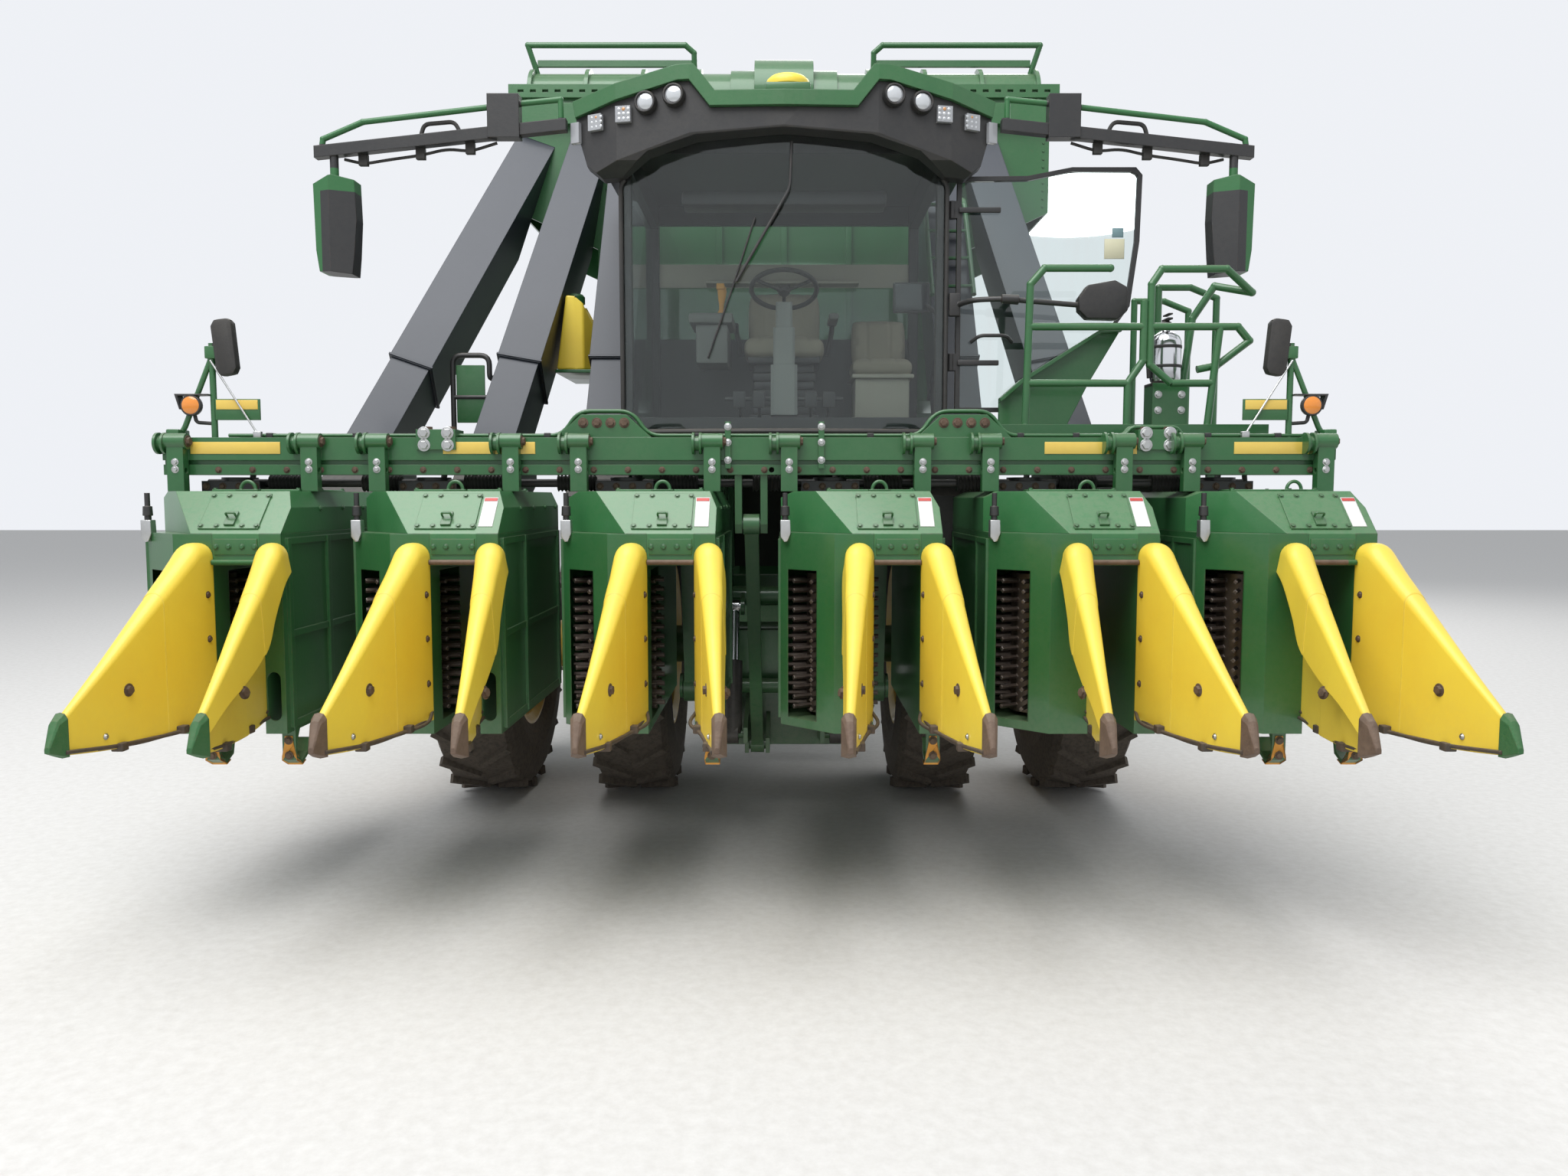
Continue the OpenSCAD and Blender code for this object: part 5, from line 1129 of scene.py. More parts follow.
def make_seats():
    """The operator's seat on its bellows, with arm rests and the drive stick beside it, and
    the passenger's seat on its box.
    """
    pads = [sewn_pad("operator_cushion", (-255, -900, 2812), (255, -420, 2912), 22,
                     channels=(0.22, 0.78)),
            sewn_pad("operator_back", (-235, -500, 2900), (235, -120, 2990), 20, lean=78,
                     pivot=(0, -470, 2900), channels=(0.25, 0.75)),
            sewn_pad("passenger_cushion", (395, -800, 2716), (795, -400, 2796), 14,
                     channels=(0.3, 0.7)),
            sewn_pad("passenger_back", (410, -470, 2790), (775, -140, 2860), 16, lean=80,
                     pivot=(0, -440, 2790), channels=(0.3, 0.7))]
    frames = bmesh.new()
    add_block(frames, (-215, -850, 2770), (215, -440, 2811), 10)
    for k in range(6):
        z = 2470 + k * 50
        add_block(frames, (-190 + 6 * (k % 2), -800 + 6 * (k % 2), z),
                  (190 - 6 * (k % 2), -480 - 6 * (k % 2), z + 48), 12)
    add_block(frames, (-205, -820, ON_CAB_FLOOR), (205, -460, 2468), 8)
    for side in SIDES:
        add_pipe(frames, [(side * 268, -440, 2860), (side * 300, -450, 3010),
                          (side * 300, -520, 3046)], 16)
    finish_piece("seat_base", frames, "machine", "black_paint", replaced=["cab_seats"])
    box = bmesh.new()
    add_block(box, (430, -760, ON_CAB_FLOOR), (760, -420, 2690), 14)
    add_block(box, (410, -785, 2690), (785, -405, 2715), 8)
    add_block(box, (-810, -196, 3330), (810, -190.5, 3480), 2)
    add_block(box, (-500, -330, 3335), (480, -196.3, 3352), 4)
    finish_piece("seat_box", box, "machine", "seat_fabric", FINISH["pale_plastic"])
    arms = bmesh.new()
    add_block(arms, (270, -780, 3040), (330, -470, 3078), 15)
    add_block(arms, (-560, -960, 2990), (-300, -520, 3052), 20)
    add_block(arms, (-520, -930, 2760), (-330, -560, 2990), 18)
    finish_piece("seat_arms", arms, "machine", "seat_fabric", FINISH["cab_plastic"])
    stick = bmesh.new()
    add_turned(stick, (-372, -880, 3050), (0.05, -0.12, 1),
               [(0, 26), (14, 20), (30, 13), (60, 15), (95, 22), (130, 27), (156, 24),
                (170, 12)], 20)
    add_block(stick, (-398, -934, 3190), (-350, -880, 3226), 9)
    finish_piece("drive_stick", stick, "machine", "yellow_paint", FINISH["orange_paint"])


def make_steering():
    """Telescopic column, wheel with three spokes, and the pedals' bar."""
    column = bmesh.new()
    for start, end, width, depth in ((0.02, 0.42, 74, 60), (0.40, 0.72, 60, 50),
                                     (0.70, 0.93, 46, 40)):
        rings = []
        for s in (start, end):
            y = -1330 + 180 * s
            z = 2411 + 709 * s
            outline = [(-width, y - depth), (-width * 0.8, y - depth * 1.2),
                       (width * 0.8, y - depth * 1.2), (width, y - depth), (width, y + depth),
                       (-width, y + depth)]
            rings.append([at(corner_x, corner_y, z) for corner_x, corner_y in outline])
        add_loft(column, rings)
    finish_piece("steering_column", column, "machine", "seat_fabric", FINISH["cab_plastic"])
    wheel = bmesh.new()
    lean = math.radians(-25)
    hub = (0, -1140, 3150)

    def on_wheel(radius, turn, lift=0.0):
        x = radius * math.cos(turn)
        y = radius * math.sin(turn)
        return (hub[0] + x, hub[1] + y * math.cos(lean) - lift * math.sin(lean),
                hub[2] + y * math.sin(lean) + lift * math.cos(lean))

    steps = 40
    rings = []
    for i in range(steps):
        turn = 2 * math.pi * i / steps
        ring = []
        for k in range(10):
            roll = 2 * math.pi * k / 10
            ring.append(at(*on_wheel(186 + 14 * math.cos(roll), turn, 14 * math.sin(roll))))
        rings.append(add_ring(wheel, ring))
    for i in range(steps):
        bridge(wheel, rings[i], rings[(i + 1) % steps])
    for turn in (math.radians(90), math.radians(210), math.radians(330)):
        add_pipe(wheel, [on_wheel(20, turn, -12), on_wheel(182, turn, 0)], 10)
    add_turned(wheel, on_wheel(0, 0, -26), (0, -math.sin(lean), math.cos(lean)),
               [(0, 30), (20, 40), (34, 36), (40, 20)], 24)
    finish_piece("steering_wheel", wheel, "machine", "black_paint", FINISH["hose_rubber"])
    pedals = bmesh.new()
    add_pipe(pedals, [(-330, -1290, 2520), (330, -1290, 2520)], 12)
    for x in (-250, -140, 150, 250):
        add_block(pedals, (x - 34, -1322, 2470), (x + 34, -1306, 2560), 6)
        add_pipe(pedals, [(x, -1308, 2510), (x, -1200, 2440), (x, -1150, 2402)], 9)
    finish_piece("pedals", pedals, "machine", "black_paint")


def make_monitor():
    """Display on its arm by the right front pillar, and the roof console."""
    shells = bmesh.new()
    add_block(shells, (600, -1370, 2985), (800, -1335, 3150), 10)
    add_pipe(shells, [(700, -1340, 3060), (760, -1300, 3060), (800, -1400, 3000),
                      (828, -1480, 2960)], 12)
    add_block(shells, (-560, -1380, 3560), (560, -1180, 3640), 24)
    finish_piece("cab_display", shells, "machine", "black_paint")
    screen = bmesh.new()
    add_block(screen, (612, -1373.5, 2998), (788, -1369, 3138), 1)
    finish_piece("display_screen", screen, "machine", "lamp_glass", FINISH["dark_glass"])


def make_cab_front():
    """Seals at the windshield's sides and foot, and the wiper with its arm."""
    seals = bmesh.new()

    def on_shield(x, out):
        return CAB_FRONT - SHIELD_BOW * (1 - (x / SHIELD_HALF) ** 2) - SHIELD_SKIN - out

    left = [(-862, on_shield(-862, 6), 2330), (-862, on_shield(-862, 6), 3610),
            (-838, on_shield(-838, 8), 3640)]
    for side in SIDES:
        add_pipe(seals, [(side * -x, y, z) for x, y, z in left], 12, bend=30, sides=8)
    along = [(x, on_shield(x, 7), 2318) for x in range(-860, 861, 86)]
    add_pipe(seals, along, 16, bend=20, sides=8)
    finish_piece("shield_seals", seals, "machine", "black_paint", FINISH["hose_rubber"])
    wiper = bmesh.new()
    add_pipe(wiper, [(40, on_shield(40, 26), 3800), (30, on_shield(30, 40), 3560),
                     (-250, on_shield(-250, 26), 3090)], 8, bend=40, sides=8)
    add_pipe(wiper, [(-150, on_shield(-150, 14), 3420), (-270, on_shield(-270, 14), 3060),
                     (-400, on_shield(-400, 14), 2700)], 6, bend=40, sides=6)
    finish_piece("shield_wiper", wiper, "machine", "black_paint")


# Places across and back along the roof's curved front, and the lamps' places on it
FASCIA_CURVE = ((0, 0), (480, 20), (860, 90), (1150, 230))
ROUND_LAMPS = ((555, ROOF_Z + 150), (701, ROOF_Z + 122))
SQUARE_LAMPS = ((818, ROOF_Z + 71, 0.18), (967, ROOF_Z + 49, 0.48))
LENS_PITCH = 24


def on_fascia(x, z, out):
    """A place out from the roof's curved front."""
    far = abs(x)
    y = 0.0
    for (x0, y0), (x1, y1) in zip(FASCIA_CURVE, FASCIA_CURVE[1:]):
        if x0 <= far <= x1:
            y = y0 + (y1 - y0) * (far - x0) / (x1 - x0)
    return x, ROOF_FRONT + y - out, z


def make_roof_details():
    """Rings and lenses of the work lamps, the receiver's dome on its box, and two beacons."""
    rings = bmesh.new()
    lenses = bmesh.new()
    tinted = bmesh.new()
    for side in SIDES:
        for x, z in ROUND_LAMPS:
            place = on_fascia(side * x, z, 0)
            add_turned(rings, place, (side * 0.18, -1, 0),
                       [(2, 58), (24, 58), (40, 52), (40, 44), (30, 42)], 28)
            place = on_fascia(side * x, z, 32)
            add_turned(lenses, place, (side * 0.18, -1, 0),
                       [(0, 41), (4, 40), (10, 26), (12, 6)], 24)
        for x, z, turned in SQUARE_LAMPS:
            for i in (-1, 0, 1):
                for k in (-1, 0, 1):
                    place = on_fascia(side * (x + i * LENS_PITCH), z + k * LENS_PITCH, 24)
                    made = tinted if (i, k) == (0, 1) else lenses
                    add_turned(made, place, (side * turned, -1, 0), [(0, 10), (3, 9), (6, 4)], 10)
    finish_piece("work_lamp_rings", rings, "machine", "black_paint")
    finish_piece("work_lamp_lenses", lenses, "machine", "lamp_glass", FINISH["lens_glass"])
    finish_piece("work_lamp_tints", tinted, "machine", "lamp_glass", FINISH["orange_lens"])
    box = bmesh.new()
    add_block(box, (-95, -1820, 4010), (135, -1560, 4058), 10)
    add_block(box, (-140, -1560, 4008), (180, -1330, 4108), 12)
    finish_piece("receiver_box", box, "machine", "green_paint")
    dome = bmesh.new()
    add_turned(dome, (20, -1690, 4058), (0, 0, 1),
               [(0, 104), (8, 112), (26, 114), (44, 108), (58, 92), (68, 66), (73, 34),
                (74, 6)], 36)
    finish_piece("receiver_dome", dome, "machine", "yellow_plastic")
    beacon = bmesh.new()
    for side in SIDES:
        add_turned(beacon, (side * 760, -420, 4075), (0, 0, 1),
                   [(0, 52), (10, 52), (14, 46), (80, 42), (104, 30), (110, 8)], 24)
    finish_piece("roof_beacons", beacon, "machine", "lamp_glass", FINISH["amber_glass"])


def make_door_details():
    """The door's two plates, hinge arms, handle and seal, and the mirror at the cab's side."""
    plates = bmesh.new()
    door_y = CAB_FRONT + 30
    add_block(plates, (1708, door_y - 7, 3240), (1815, door_y - 4.6, 3345), 0.6)
    finish_piece("door_plate", plates, "cab_door", "lamp_glass", FINISH["pale_plate"])
    small = bmesh.new()
    add_block(small, (1748, door_y - 7, 3352), (1808, door_y - 4.6, 3402), 0.6)
    finish_piece("door_small_plate", small, "cab_door", "lamp_glass", FINISH["blue_plate"])
    arms = bmesh.new()
    for z in (2690, 3490):
        add_block(arms, (928, door_y - 34, z - 14), (1150, door_y - 15, z + 14), 6)
    add_pipe(arms, [(1000, door_y - 22, 2800), (1040, door_y - 60, 2830),
                    (1180, door_y - 60, 2830), (1220, door_y - 22, 2800)], 10)
    finish_piece("door_arms", arms, "cab_door", "black_paint")
    seal = bmesh.new()
    outline = [(930, 2445), (1440, 2445), (1838, 2992), (1880, 3332), (1888, 3668),
               (1858, 3702), (1530, 3702), (1292, 3658), (930, 3652), (930, 2445)]
    add_pipe(seal, [(x, door_y + 16, z) for x, z in outline], 9, bend=40, sides=8)
    finish_piece("door_seal", seal, "cab_door", "black_paint", FINISH["hose_rubber"])
    mirror = bmesh.new()
    add_plate(mirror, [(1512, 2990), (1560, 3060), (1700, 3084), (1762, 3050), (1769, 2930),
                       (1720, 2884), (1560, 2888), (1516, 2930)], -1790, -1712, "y", 12)
    add_pipe(mirror, [(925, -1585, 2990), (980, -1720, 2994), (1130, -1752, 2994),
                      (1520, -1752, 2962)], 14)
    add_block(mirror, (876, -1604, 2930), (936, -1566, 3050), 8)
    add_turned(mirror, (1120, -1752, 2994), (1, 0, -0.06), [(0, 14), (4, 24), (90, 26),
                                                           (94, 14)], 16)
    finish_piece("side_mirror", mirror, "machine", "black_paint")
    glass = bmesh.new()
    add_plate(glass, [(1528, 2988), (1568, 3046), (1696, 3068), (1748, 3040), (1754, 2938),
                      (1714, 2900), (1566, 2904), (1530, 2936)], -1712.5, -1709, "y", 1)
    finish_piece("side_mirror_glass", glass, "machine", "rod_chrome")


def make_extinguisher():
    """Chrome bottle with its hose and handle on the green post."""
    x, y = 1985, -1730
    bottle = bmesh.new()
    add_turned(bottle, (x, y, 2562), (0, 0, 1),
               [(0, 60), (10, 74), (24, 78), (214, 78), (240, 68), (262, 40), (270, 24),
                (290, 22)], 32)
    finish_piece("extinguisher", bottle, "machine", "rod_chrome")
    parts = bmesh.new()
    add_turned(parts, (x, y, 2850), (0, 0, 1), [(0, 26), (26, 26), (32, 16), (40, 14)], 20)
    add_block(parts, (x - 14, y - 62, 2884), (x + 14, y + 34, 2894), 3)
    add_block(parts, (x - 12, y - 66, 2908), (x + 12, y + 24, 2916), 3)
    add_pipe(parts, [(x - 26, y, 2866), (x - 84, y, 2850), (x - 96, y, 2740),
                     (x - 88, y - 10, 2590)], 10)
    add_block(parts, (x - 88, y - 66, 2545), (x + 88, y + 66, 2562), 5)
    for z in (2640, 2740):
        add_turned(parts, (x, y, z), (0, 0, 1), [(0, 79.5), (2, 81), (14, 81), (16, 79.5)], 32)
    finish_piece("extinguisher_fittings", parts, "machine", "black_paint",
                 FINISH["hose_rubber"])
    bolts = []
    for bx in (1930, 2050):
        for z in (2420, 2500):
            bolts.append(((bx, -1800, z), (0, -1, 0), 1.1))
    set_bolts("extinguisher_post_bolts", "machine", "rod_chrome", bolts, FINISH["zinc"])


def make_tank():
    """Yellow tank with a folded side on its shelf between two ducts, and the panel beside it."""
    tank = bmesh.new()
    corners_round = [(-1462, -1398, -330, 3262), (-1335, -1335, -330, 3262),
                     (-1286, -1286, -330, 3216), (-1206, -1206, -190, 3004),
                     (-1206, -1206, 120, 3004), (-1335, -1335, 120, 3262),
                     (-1462, -1398, 120, 3262)]
    foot = [at(low_x, y, 2792) for low_x, top_x, y, top in corners_round]
    brow = [at(top_x, y, top) for low_x, top_x, y, top in corners_round]
    made = add_loft(tank, [foot, brow])
    edges = {edge for ring in made for vertex in ring for edge in vertex.link_edges}
    bmesh.ops.bevel(tank, geom=list(edges), offset=0.014, segments=3, profile=0.6,
                    affect="EDGES")
    finish_piece("cleaning_tank", tank, "machine", "yellow_plastic")
    shelf = bmesh.new()
    add_block(shelf, (-1470, -340, 2770), (-1205, 381, 2792), 4)
    add_block(shelf, (-1290, 120, 2600), (-1270, 381, 2772), 3)
    add_turned(shelf, (-1390, -60, 3250), (0, 0, 1),
               [(0, 70), (44, 70), (60, 56), (64, 12)], 28)
    finish_piece("cleaning_tank_shelf", shelf, "machine", "green_paint")
    panel = bmesh.new()
    add_block(panel, (-2060, -505, 2440), (-1880, -490, 2800), 6)
    finish_piece("side_panel", panel, "machine", "green_paint")
    rails = bmesh.new()
    add_pipe(rails, [(-2080, -500, 2380), (-2080, -500, 2860), (-1850, -500, 2860),
                     (-1850, -500, 2700), (-1790, -440, 2760)], 17)
    add_pipe(rails, [(-2080, -500, 2600), (-1862, -500, 2600)], 14)
    finish_piece("side_panel_rails", rails, "machine", "black_paint")


def make_mirror_cables():
    """Cables that sag under the mirrors' bars, their clips, and a grip over each bar."""
    cables = bmesh.new()
    low, high = measured("mirrors")
    y = (low.y + high.y) / 2
    for side in SIDES:
        def under(x, drop):
            return side * x, y, MIRROR_BAR_ROOT[1] - (x - MIRROR_BAR_ROOT[0]) * BAR_FALL - drop

        sags = ((1500, 12), (1640, 40), (1760, 14), (1900, 32), (2060, 36), (2200, 44),
                (2300, 10))
        add_pipe(cables, [under(x, drop) for x, drop in sags], 8, bend=70, sides=8)
        for x in (1640, 1900, 2200):
            foot = under(x + 24, 52)
            head = under(x - 24, -2)
            add_block(cables, (foot[0], y - 16, foot[2]), (head[0], y + 16, head[2]), 4)
        grip = ((1690, -58), (1720, -120), (1880, -124), (1900, -58))
        add_pipe(cables, [under(x, drop) for x, drop in grip], 11, bend=30, sides=10)
    finish_piece("mirror_cables", cables, "machine", "black_paint", FINISH["hose_rubber"])


def make_roof_ladder():
    """Green ladder that leans with the duct behind the cab's right side."""
    ladder = bmesh.new()
    for x in (930, 1190):
        add_pipe(ladder, [(x, -470, 3240), (x, -20, 3930), (x, 80, 3960), (x, 300, 3960)], 17)
    for z in (3300, 3500, 3700, 3900):
        y = -470 + (z - 3240) * 450 / 690
        add_block(ladder, (925, y - 16, z - 9), (1195, y + 22, z + 9), 4)
    for x in (930, 1190):
        add_block(ladder, (x - 9, -400, 3328), (x + 9, -330, 3346), 2)
    finish_piece("roof_ladder", ladder, "machine", "green_paint")


# Wheels

def ring_of_bolts(spots, x, y, z, radius, count, side, size, phase=0.0):
    """Adds a circle of bolt spots that face along X, to one side or the other."""
    for i in range(count):
        turn = 2 * math.pi * (i + phase) / count
        place = (x, y + radius * math.cos(turn), z + radius * math.sin(turn))
        spots.append((place, (side, 0, 0), size))


def finish_wheel(body, side, nuts, cap_place, profile, steps):
    """A wheel body's domed cap and its nuts."""
    cap = bmesh.new()
    add_turned(cap, cap_place, (side, 0, 0), profile, steps)
    finish_piece(body + "_cap", cap, body, "yellow_paint")
    set_bolts(body + "_nuts", body, "rusty_iron", nuts)


def make_wheel_details():
    """Nuts on both faces of the front pairs' discs and on the rear discs, and the hubs' caps."""
    for name, side in WHEEL_SIDES:
        nuts = []
        for x in FRONT_WHEELS_X:
            ring_of_bolts(nuts, side * (x + 20), 0, AXLE_Z, 205, 12, side, 2.2)
            ring_of_bolts(nuts, side * (x - 20), 0, AXLE_Z, 205, 12, -side, 2.2)
        ring_of_bolts(nuts, side * 2020, 0, AXLE_Z, 128, 10, side, 1.3, 0.5)
        finish_wheel("front_wheels_" + name, side, nuts, (side * 2018, 0, AXLE_Z),
                     [(0, 104), (10, 104), (26, 92), (44, 60), (50, 20)], 32)
    for name, side in WHEEL_SIDES:
        low, high = measured("rear_rim_" + name)
        x = (low.x + high.x) / 2
        y = (low.y + high.y) / 2
        z = (low.z + high.z) / 2
        nuts = []
        ring_of_bolts(nuts, x + side * 20, y, z, 150, 10, side, 2.0)
        ring_of_bolts(nuts, x + side * 90, y, z, 86, 8, side, 1.2, 0.5)
        finish_wheel("rear_wheel_" + name, side, nuts, (x + side * 89, y, z),
                     [(0, 64), (14, 62), (30, 44), (36, 14)], 28)


# Ducts, accumulator, side covers and baler. Each duct: its foot's place across, and its lean

DUCTS = [(-2480, 19.2), (-1725, 9.9), (-1060, 0), (1060, 0), (1725, -9.9)]


def duct_place(duct, x, y, z):
    """A place given along a duct's own axes, on the machine."""
    lean = math.radians(duct[1])
    back = -math.atan(DUCT_SLOPE * math.cos(lean))
    place = Matrix.Rotation(lean, 3, "Y") @ Matrix.Rotation(back, 3, "X") @ Vector((x, y, z))
    return duct[0] + place.x, DUCT_FOOT[0] + place.y, DUCT_FOOT[1] + place.z


def duct_band(made, duct, half, start, end, grow):
    """A rectangular band round a duct, from its half sizes and its two places along it."""
    def loop(extra, z):
        w = half[0] + extra
        d = half[1] + extra
        corners = [(-w, -d), (w, -d), (w, d), (-w, d)]
        return add_ring(made, [at(*duct_place(duct, x, y, z)) for x, y in corners])
    loops = [loop(0.3, start), loop(grow, start), loop(grow, end), loop(0.3, end)]
    for first, second in zip(loops, loops[1:] + loops[:1]):
        bridge(made, first, second)


def make_duct_lips():
    """Folded lip round each fixed sleeve's lower end."""
    lips = bmesh.new()
    for duct in DUCTS:
        duct_band(lips, duct, SLEEVE_HALF, SLEEVE_END, SLEEVE_END + 12, 7)
    finish_piece("duct_lips", lips, "machine", "duct_paint")


def make_accumulator_details():
    """Rivets along the accumulator's edges, ribs on its front and sides, and its rear lamps."""
    front = ACCUMULATOR_FRONT
    half = ACCUMULATOR_HALF
    lower = ACCUMULATOR_LOWER_HALF
    pitch = 54
    rivets = []
    for side in SIDES:
        outward = (side, 0, 0)
        for i in range(14):
            z = 3990 + i * pitch
            rivets.append(((side * (half - 40), front, z), (0, -1, 0), 0.8))
            rivets.append(((side * half, front + 50, z), outward, 0.8))
            rivets.append(((side * half, ACCUMULATOR_REAR - 50, z), outward, 0.8))
        for i in range(18):
            z = 2700 + i * pitch
            rivets.append(((side * (lower - 38), front, z), (0, -1, 0), 0.8))
            rivets.append(((side * lower, front + 50, z), outward, 0.8))
        for i in range(30):
            rivets.append(((side * half, front + 80 + i * 60, 3985), outward, 0.8))
    ribs = bmesh.new()
    for x in (-900, -450, 0, 450, 900):
        add_block(ribs, (x - 22, front - 28, 2720), (x + 22, front + 0.5, 4500), 5)
    for z in (3000, 3560, 4100):
        add_block(ribs, (-1240, front - 20, z), (1240, front + 0.5, z + 36), 5)
    for side in SIDES:
        for y in (700, 1300, 1900):
            add_block(ribs, (side * (half - 0.5), y - 20, 3990),
                      (side * (half + 22), y + 20, 4700), 5)
    finish_piece("accumulator_ribs", ribs, "machine", "green_paint")
    set_bolts("accumulator_rivets", "machine", "green_paint", rivets, radius=0.010,
              height=0.006, washer=0.011, sides=10)
    lamps = bmesh.new()
    for side in SIDES:
        add_block(lamps, (side * 1560, ACCUMULATOR_REAR - 1, 4560),
                  (side * 1760, ACCUMULATOR_REAR + 40, 4640), 8)
    finish_piece("rear_lamps", lamps, "machine", "lamp_glass", FINISH["red_glass"])


def make_side_details():
    """Latches, a top strip and bolts on the side covers, and pipes along the chassis."""
    parts = bmesh.new()
    bolts = []
    skin = SIDE_COVER_HALF
    for side in SIDES:
        for y in (900, 1690, 2450):
            for z in (1560, 2050, 2540):
                bolts.append(((side * skin, y, z), (side, 0, 0), 1.0))
        for y in (1260, 2060):
            add_block(parts, (side * (skin - 1), y - 60, 2470),
                      (side * (skin + 22), y + 60, 2510), 6)
        add_block(parts, (side * (skin - 1), 870, 2548), (side * (skin + 8), 2480, 2566), 3)
    pipes = bmesh.new()
    for side in SIDES:
        for k, x in enumerate((488, 512, 536)):
            z = 1400 - k * 34
            add_pipe(pipes, [(side * x, 300, z), (side * x, 2700, z), (side * x, 2800, z - 90),
                             (side * x, 4300, z - 90)], 11)
        for y in (420, 820, 3020, 3380):
            add_block(pipes, (side * 468, y - 18, 1225), (side * 556, y + 18, 1425), 5)
    finish_piece("cover_latch_bars", parts, "machine", "black_paint")
    finish_piece("chassis_pipes", pipes, "machine", "black_paint")
    set_bolts("side_cover_bolts", "machine", "rusty_iron", bolts)


# On the baler's end plates: bearing housings as [y, z], and straps from one place to another
BODY_BEARINGS = ((3050, 3320), (3020, 2640), (3360, 2200))
GATE_BEARINGS = ((4480, 3380), (4620, 2760), (4240, 2160))
BODY_STRAPS = ((2900, 2500, 3300, 3600), (2760, 3050, 3500, 2300))
GATE_STRAPS = ((4300, 3560, 4700, 2500),)
STRAP_WIDTH = 44
RING_BOLTS = 48
RING_RADIUS = 1132


def add_strap(made, side, strap):
    """A flat strap between two places on one of the baler's end plates."""
    y0, z0, y1, z1 = strap
    run = Vector((0, y1 - y0, z1 - z0)).normalized() * 0.5
    dy = run.z * STRAP_WIDTH
    dz = run.y * STRAP_WIDTH
    outline = [(y0 - dy, z0 + dz), (y1 - dy, z1 + dz), (y1 + dy, z1 - dz), (y0 + dy, z0 - dz)]
    low, high = sorted((side * (BALER_HALF - 0.5), side * (BALER_HALF + 16)))
    add_plate(made, outline, low, high, "x", 4)


def make_baler_details():
    """Bolts round the baler's end rings, bearing housings and straps, body and gate apart."""
    body_bolts = []
    gate_bolts = []
    for side in SIDES:
        for i in range(RING_BOLTS):
            turn = 2 * math.pi * (i + 0.5) / RING_BOLTS
            y = BALER[0] + RING_RADIUS * math.cos(turn)
            z = BALER[1] + RING_RADIUS * math.sin(turn)
            spot = ((side * (BALER_HALF + 22), y, z), (side, 0, 0), 1.3)
            if y < BALER[0] - 40:
                body_bolts.append(spot)
            elif y > BALER[0] + 60:
                gate_bolts.append(spot)
    body = bmesh.new()
    gate = bmesh.new()
    for side in SIDES:
        for made, bolts, bearings, straps in (
                (body, body_bolts, BODY_BEARINGS, BODY_STRAPS),
                (gate, gate_bolts, GATE_BEARINGS, GATE_STRAPS)):
            for y, z in bearings:
                add_turned(made, (side * (BALER_HALF - 1), y, z), (side, 0, 0),
                           [(0, 88), (14, 88), (22, 60), (44, 56), (50, 30)], 28)
                ring_of_bolts(bolts, side * (BALER_HALF + 13), y, z, 74, 6, side, 1.0)
            for strap in straps:
                add_strap(made, side, strap)
    finish_piece("baler_bearings", body, "machine", "green_paint")
    finish_piece("gate_bearings", gate, "baler_gate", "green_paint")
    set_bolts("baler_bolts", "machine", "rusty_iron", body_bolts)
    set_bolts("gate_bolts", "baler_gate", "rusty_iron", gate_bolts)


make_dividers()
divider_bolts()
make_divider_rods()
make_cover_details()
make_shoe_plates()
make_toolbar_details()
make_toolbar_pipes()
make_end_sets()
make_drive_bellows()
make_unit_lamps()
make_seats()
make_steering()
make_monitor()
make_cab_front()
make_roof_details()
make_door_details()
make_extinguisher()
make_tank()
make_mirror_cables()
make_roof_ladder()
make_wheel_details()
make_duct_lips()
make_accumulator_details()
make_side_details()
make_baler_details()


# Stage

FLOOR_REACH = 60.0


def make_stage():
    """A pale floor, which keeps the machine's shadow and shows white to the camera far off."""
    mesh = bpy.data.meshes.new("floor")
    far = FLOOR_REACH
    mesh.from_pydata([(-far, -far, 0), (far, -far, 0), (far, far, 0), (-far, far, 0)], [],
                     [(0, 1, 2, 3)])
    floor = bpy.data.objects.new("floor", mesh)
    bpy.context.collection.objects.link(floor)
    material, tree, shader = plain_finish("pale_floor", 0.85, specular=0.2)
    grit = step_up(tree, noise(tree, 18.0, 8.0, 0.7), 0.3, 0.75)
    tree.links.new(blend_colour(tree, grit, (0.60, 0.585, 0.56, 1), (0.70, 0.69, 0.67, 1)),
                   shader.inputs["Base Color"])
    mesh.materials.append(material)


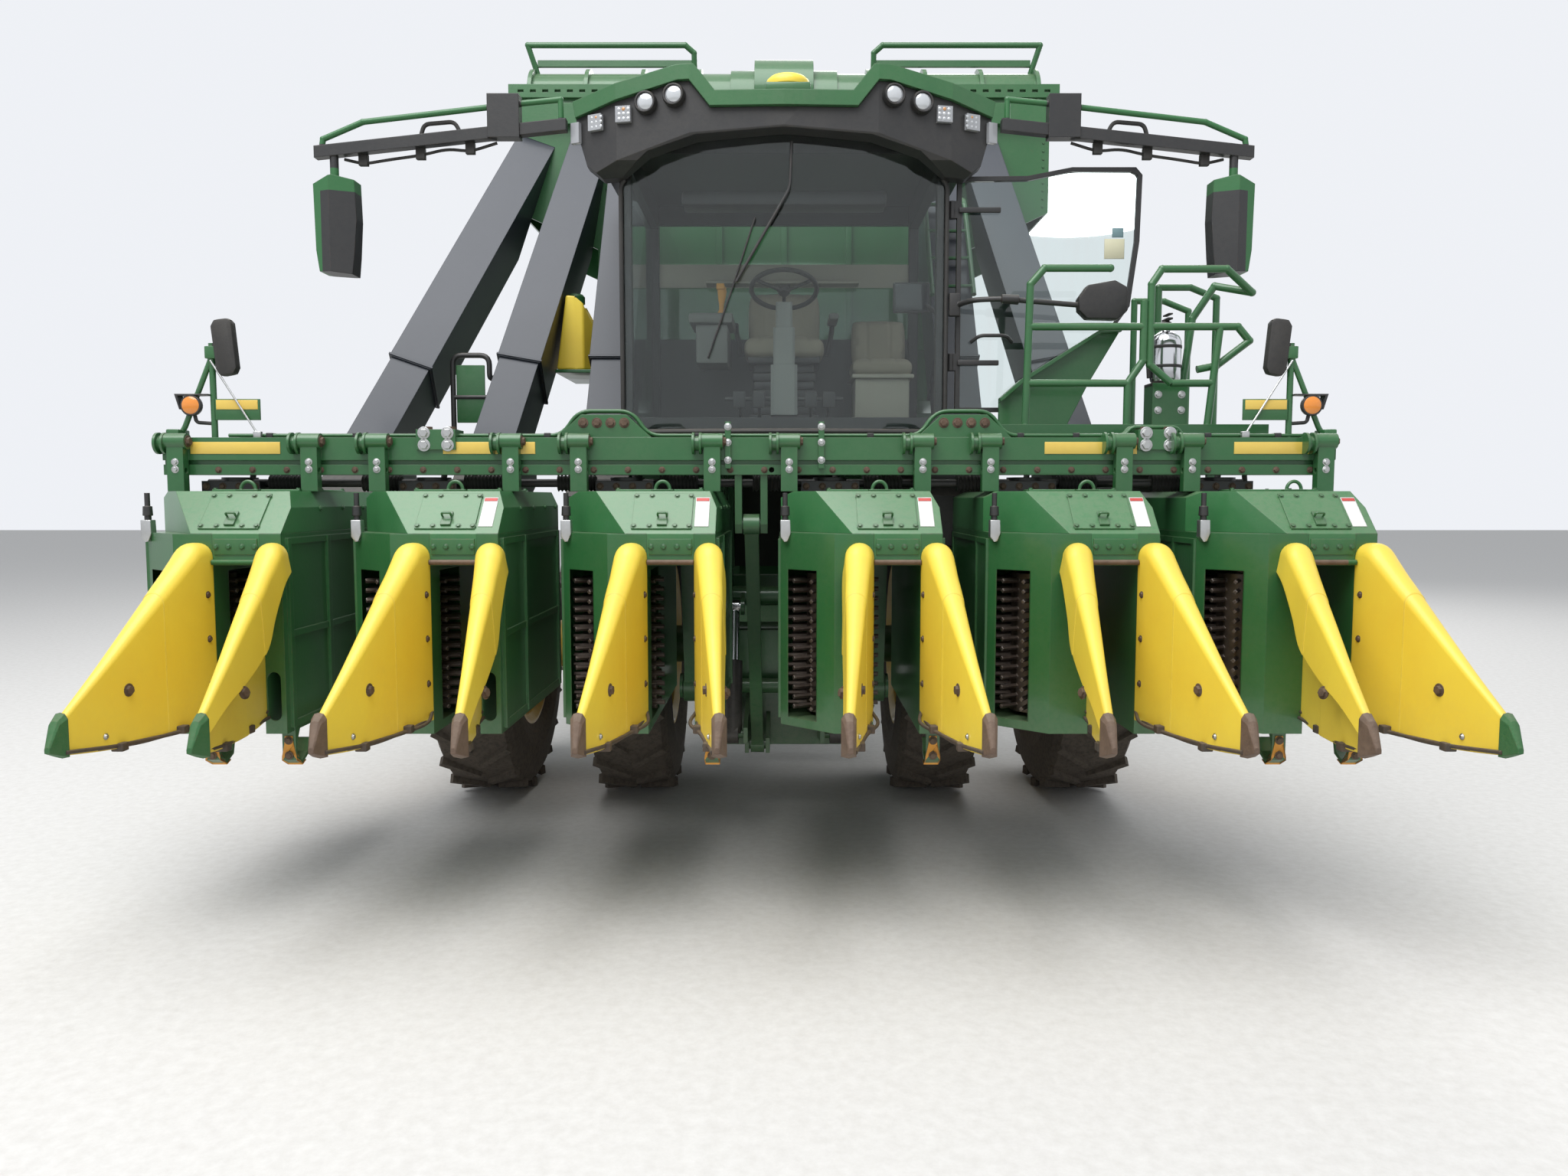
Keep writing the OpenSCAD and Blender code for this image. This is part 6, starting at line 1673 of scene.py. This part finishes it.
def make_world():
    """An even sky: brighter where it is looked at or mirrored than as a light."""
    world = bpy.data.worlds.new("studio")
    bpy.context.scene.world = world
    world.use_nodes = True
    tree = world.node_tree
    tree.nodes.clear()
    path = node(tree, "ShaderNodeLightPath").outputs
    seen = maths(tree, "ADD", path["Is Camera Ray"], path["Is Glossy Ray"], clamp=True)
    seen = maths(tree, "ADD", seen, path["Is Transmission Ray"], clamp=True)
    shown = node(tree, "ShaderNodeBackground", Color=(0.86, 0.88, 0.92, 1), Strength=1.0)
    light = node(tree, "ShaderNodeBackground", Color=(0.90, 0.94, 1.0, 1), Strength=0.62)
    mix = node(tree, "ShaderNodeMixShader", _0=seen, _1=light.outputs[0],
               _2=shown.outputs[0])
    output = node(tree, "ShaderNodeOutputWorld")
    tree.links.new(mix.outputs[0], output.inputs["Surface"])


def add_lamp(name, place, aim, size, power):
    """A round white area light, aimed at a place."""
    light = bpy.data.lights.new(name, "AREA")
    light.shape = "DISK"
    light.size = size
    light.energy = power
    lamp = bpy.data.objects.new(name, light)
    bpy.context.collection.objects.link(lamp)
    lamp.location = place
    lamp.rotation_euler = (Vector(aim) - Vector(place)).to_track_quat("-Z", "Y").to_euler()


def make_camera():
    """The camera that took the photo, in front of the machine."""
    lens = bpy.data.cameras.new("photo_view")
    lens.sensor_width = SENSOR_WIDTH
    lens.lens = FOCAL_LENGTH
    lens.clip_end = 300.0
    camera = bpy.data.objects.new("photo_view", lens)
    bpy.context.collection.objects.link(camera)
    camera.location = (SHIFT.x, SHIFT.y - CAMERA_FROM_AXLE, CAMERA_HEIGHT)
    camera.rotation_euler = (math.pi / 2 - CAMERA_PITCH, 0, 0)
    bpy.context.scene.camera = camera


make_stage()
make_world()
add_lamp("sky_panel", (-3, -8, 14), (0, -1, 1.2), 14.0, 2600.0)
add_lamp("rear_panel", (5, 12, 12), (0, 2, 2), 12.0, 1200.0)
make_camera()

scene = bpy.context.scene
scene.view_settings.view_transform = "Standard"


def corners(box):
    return [list(map(float, corner)) for corner in box]
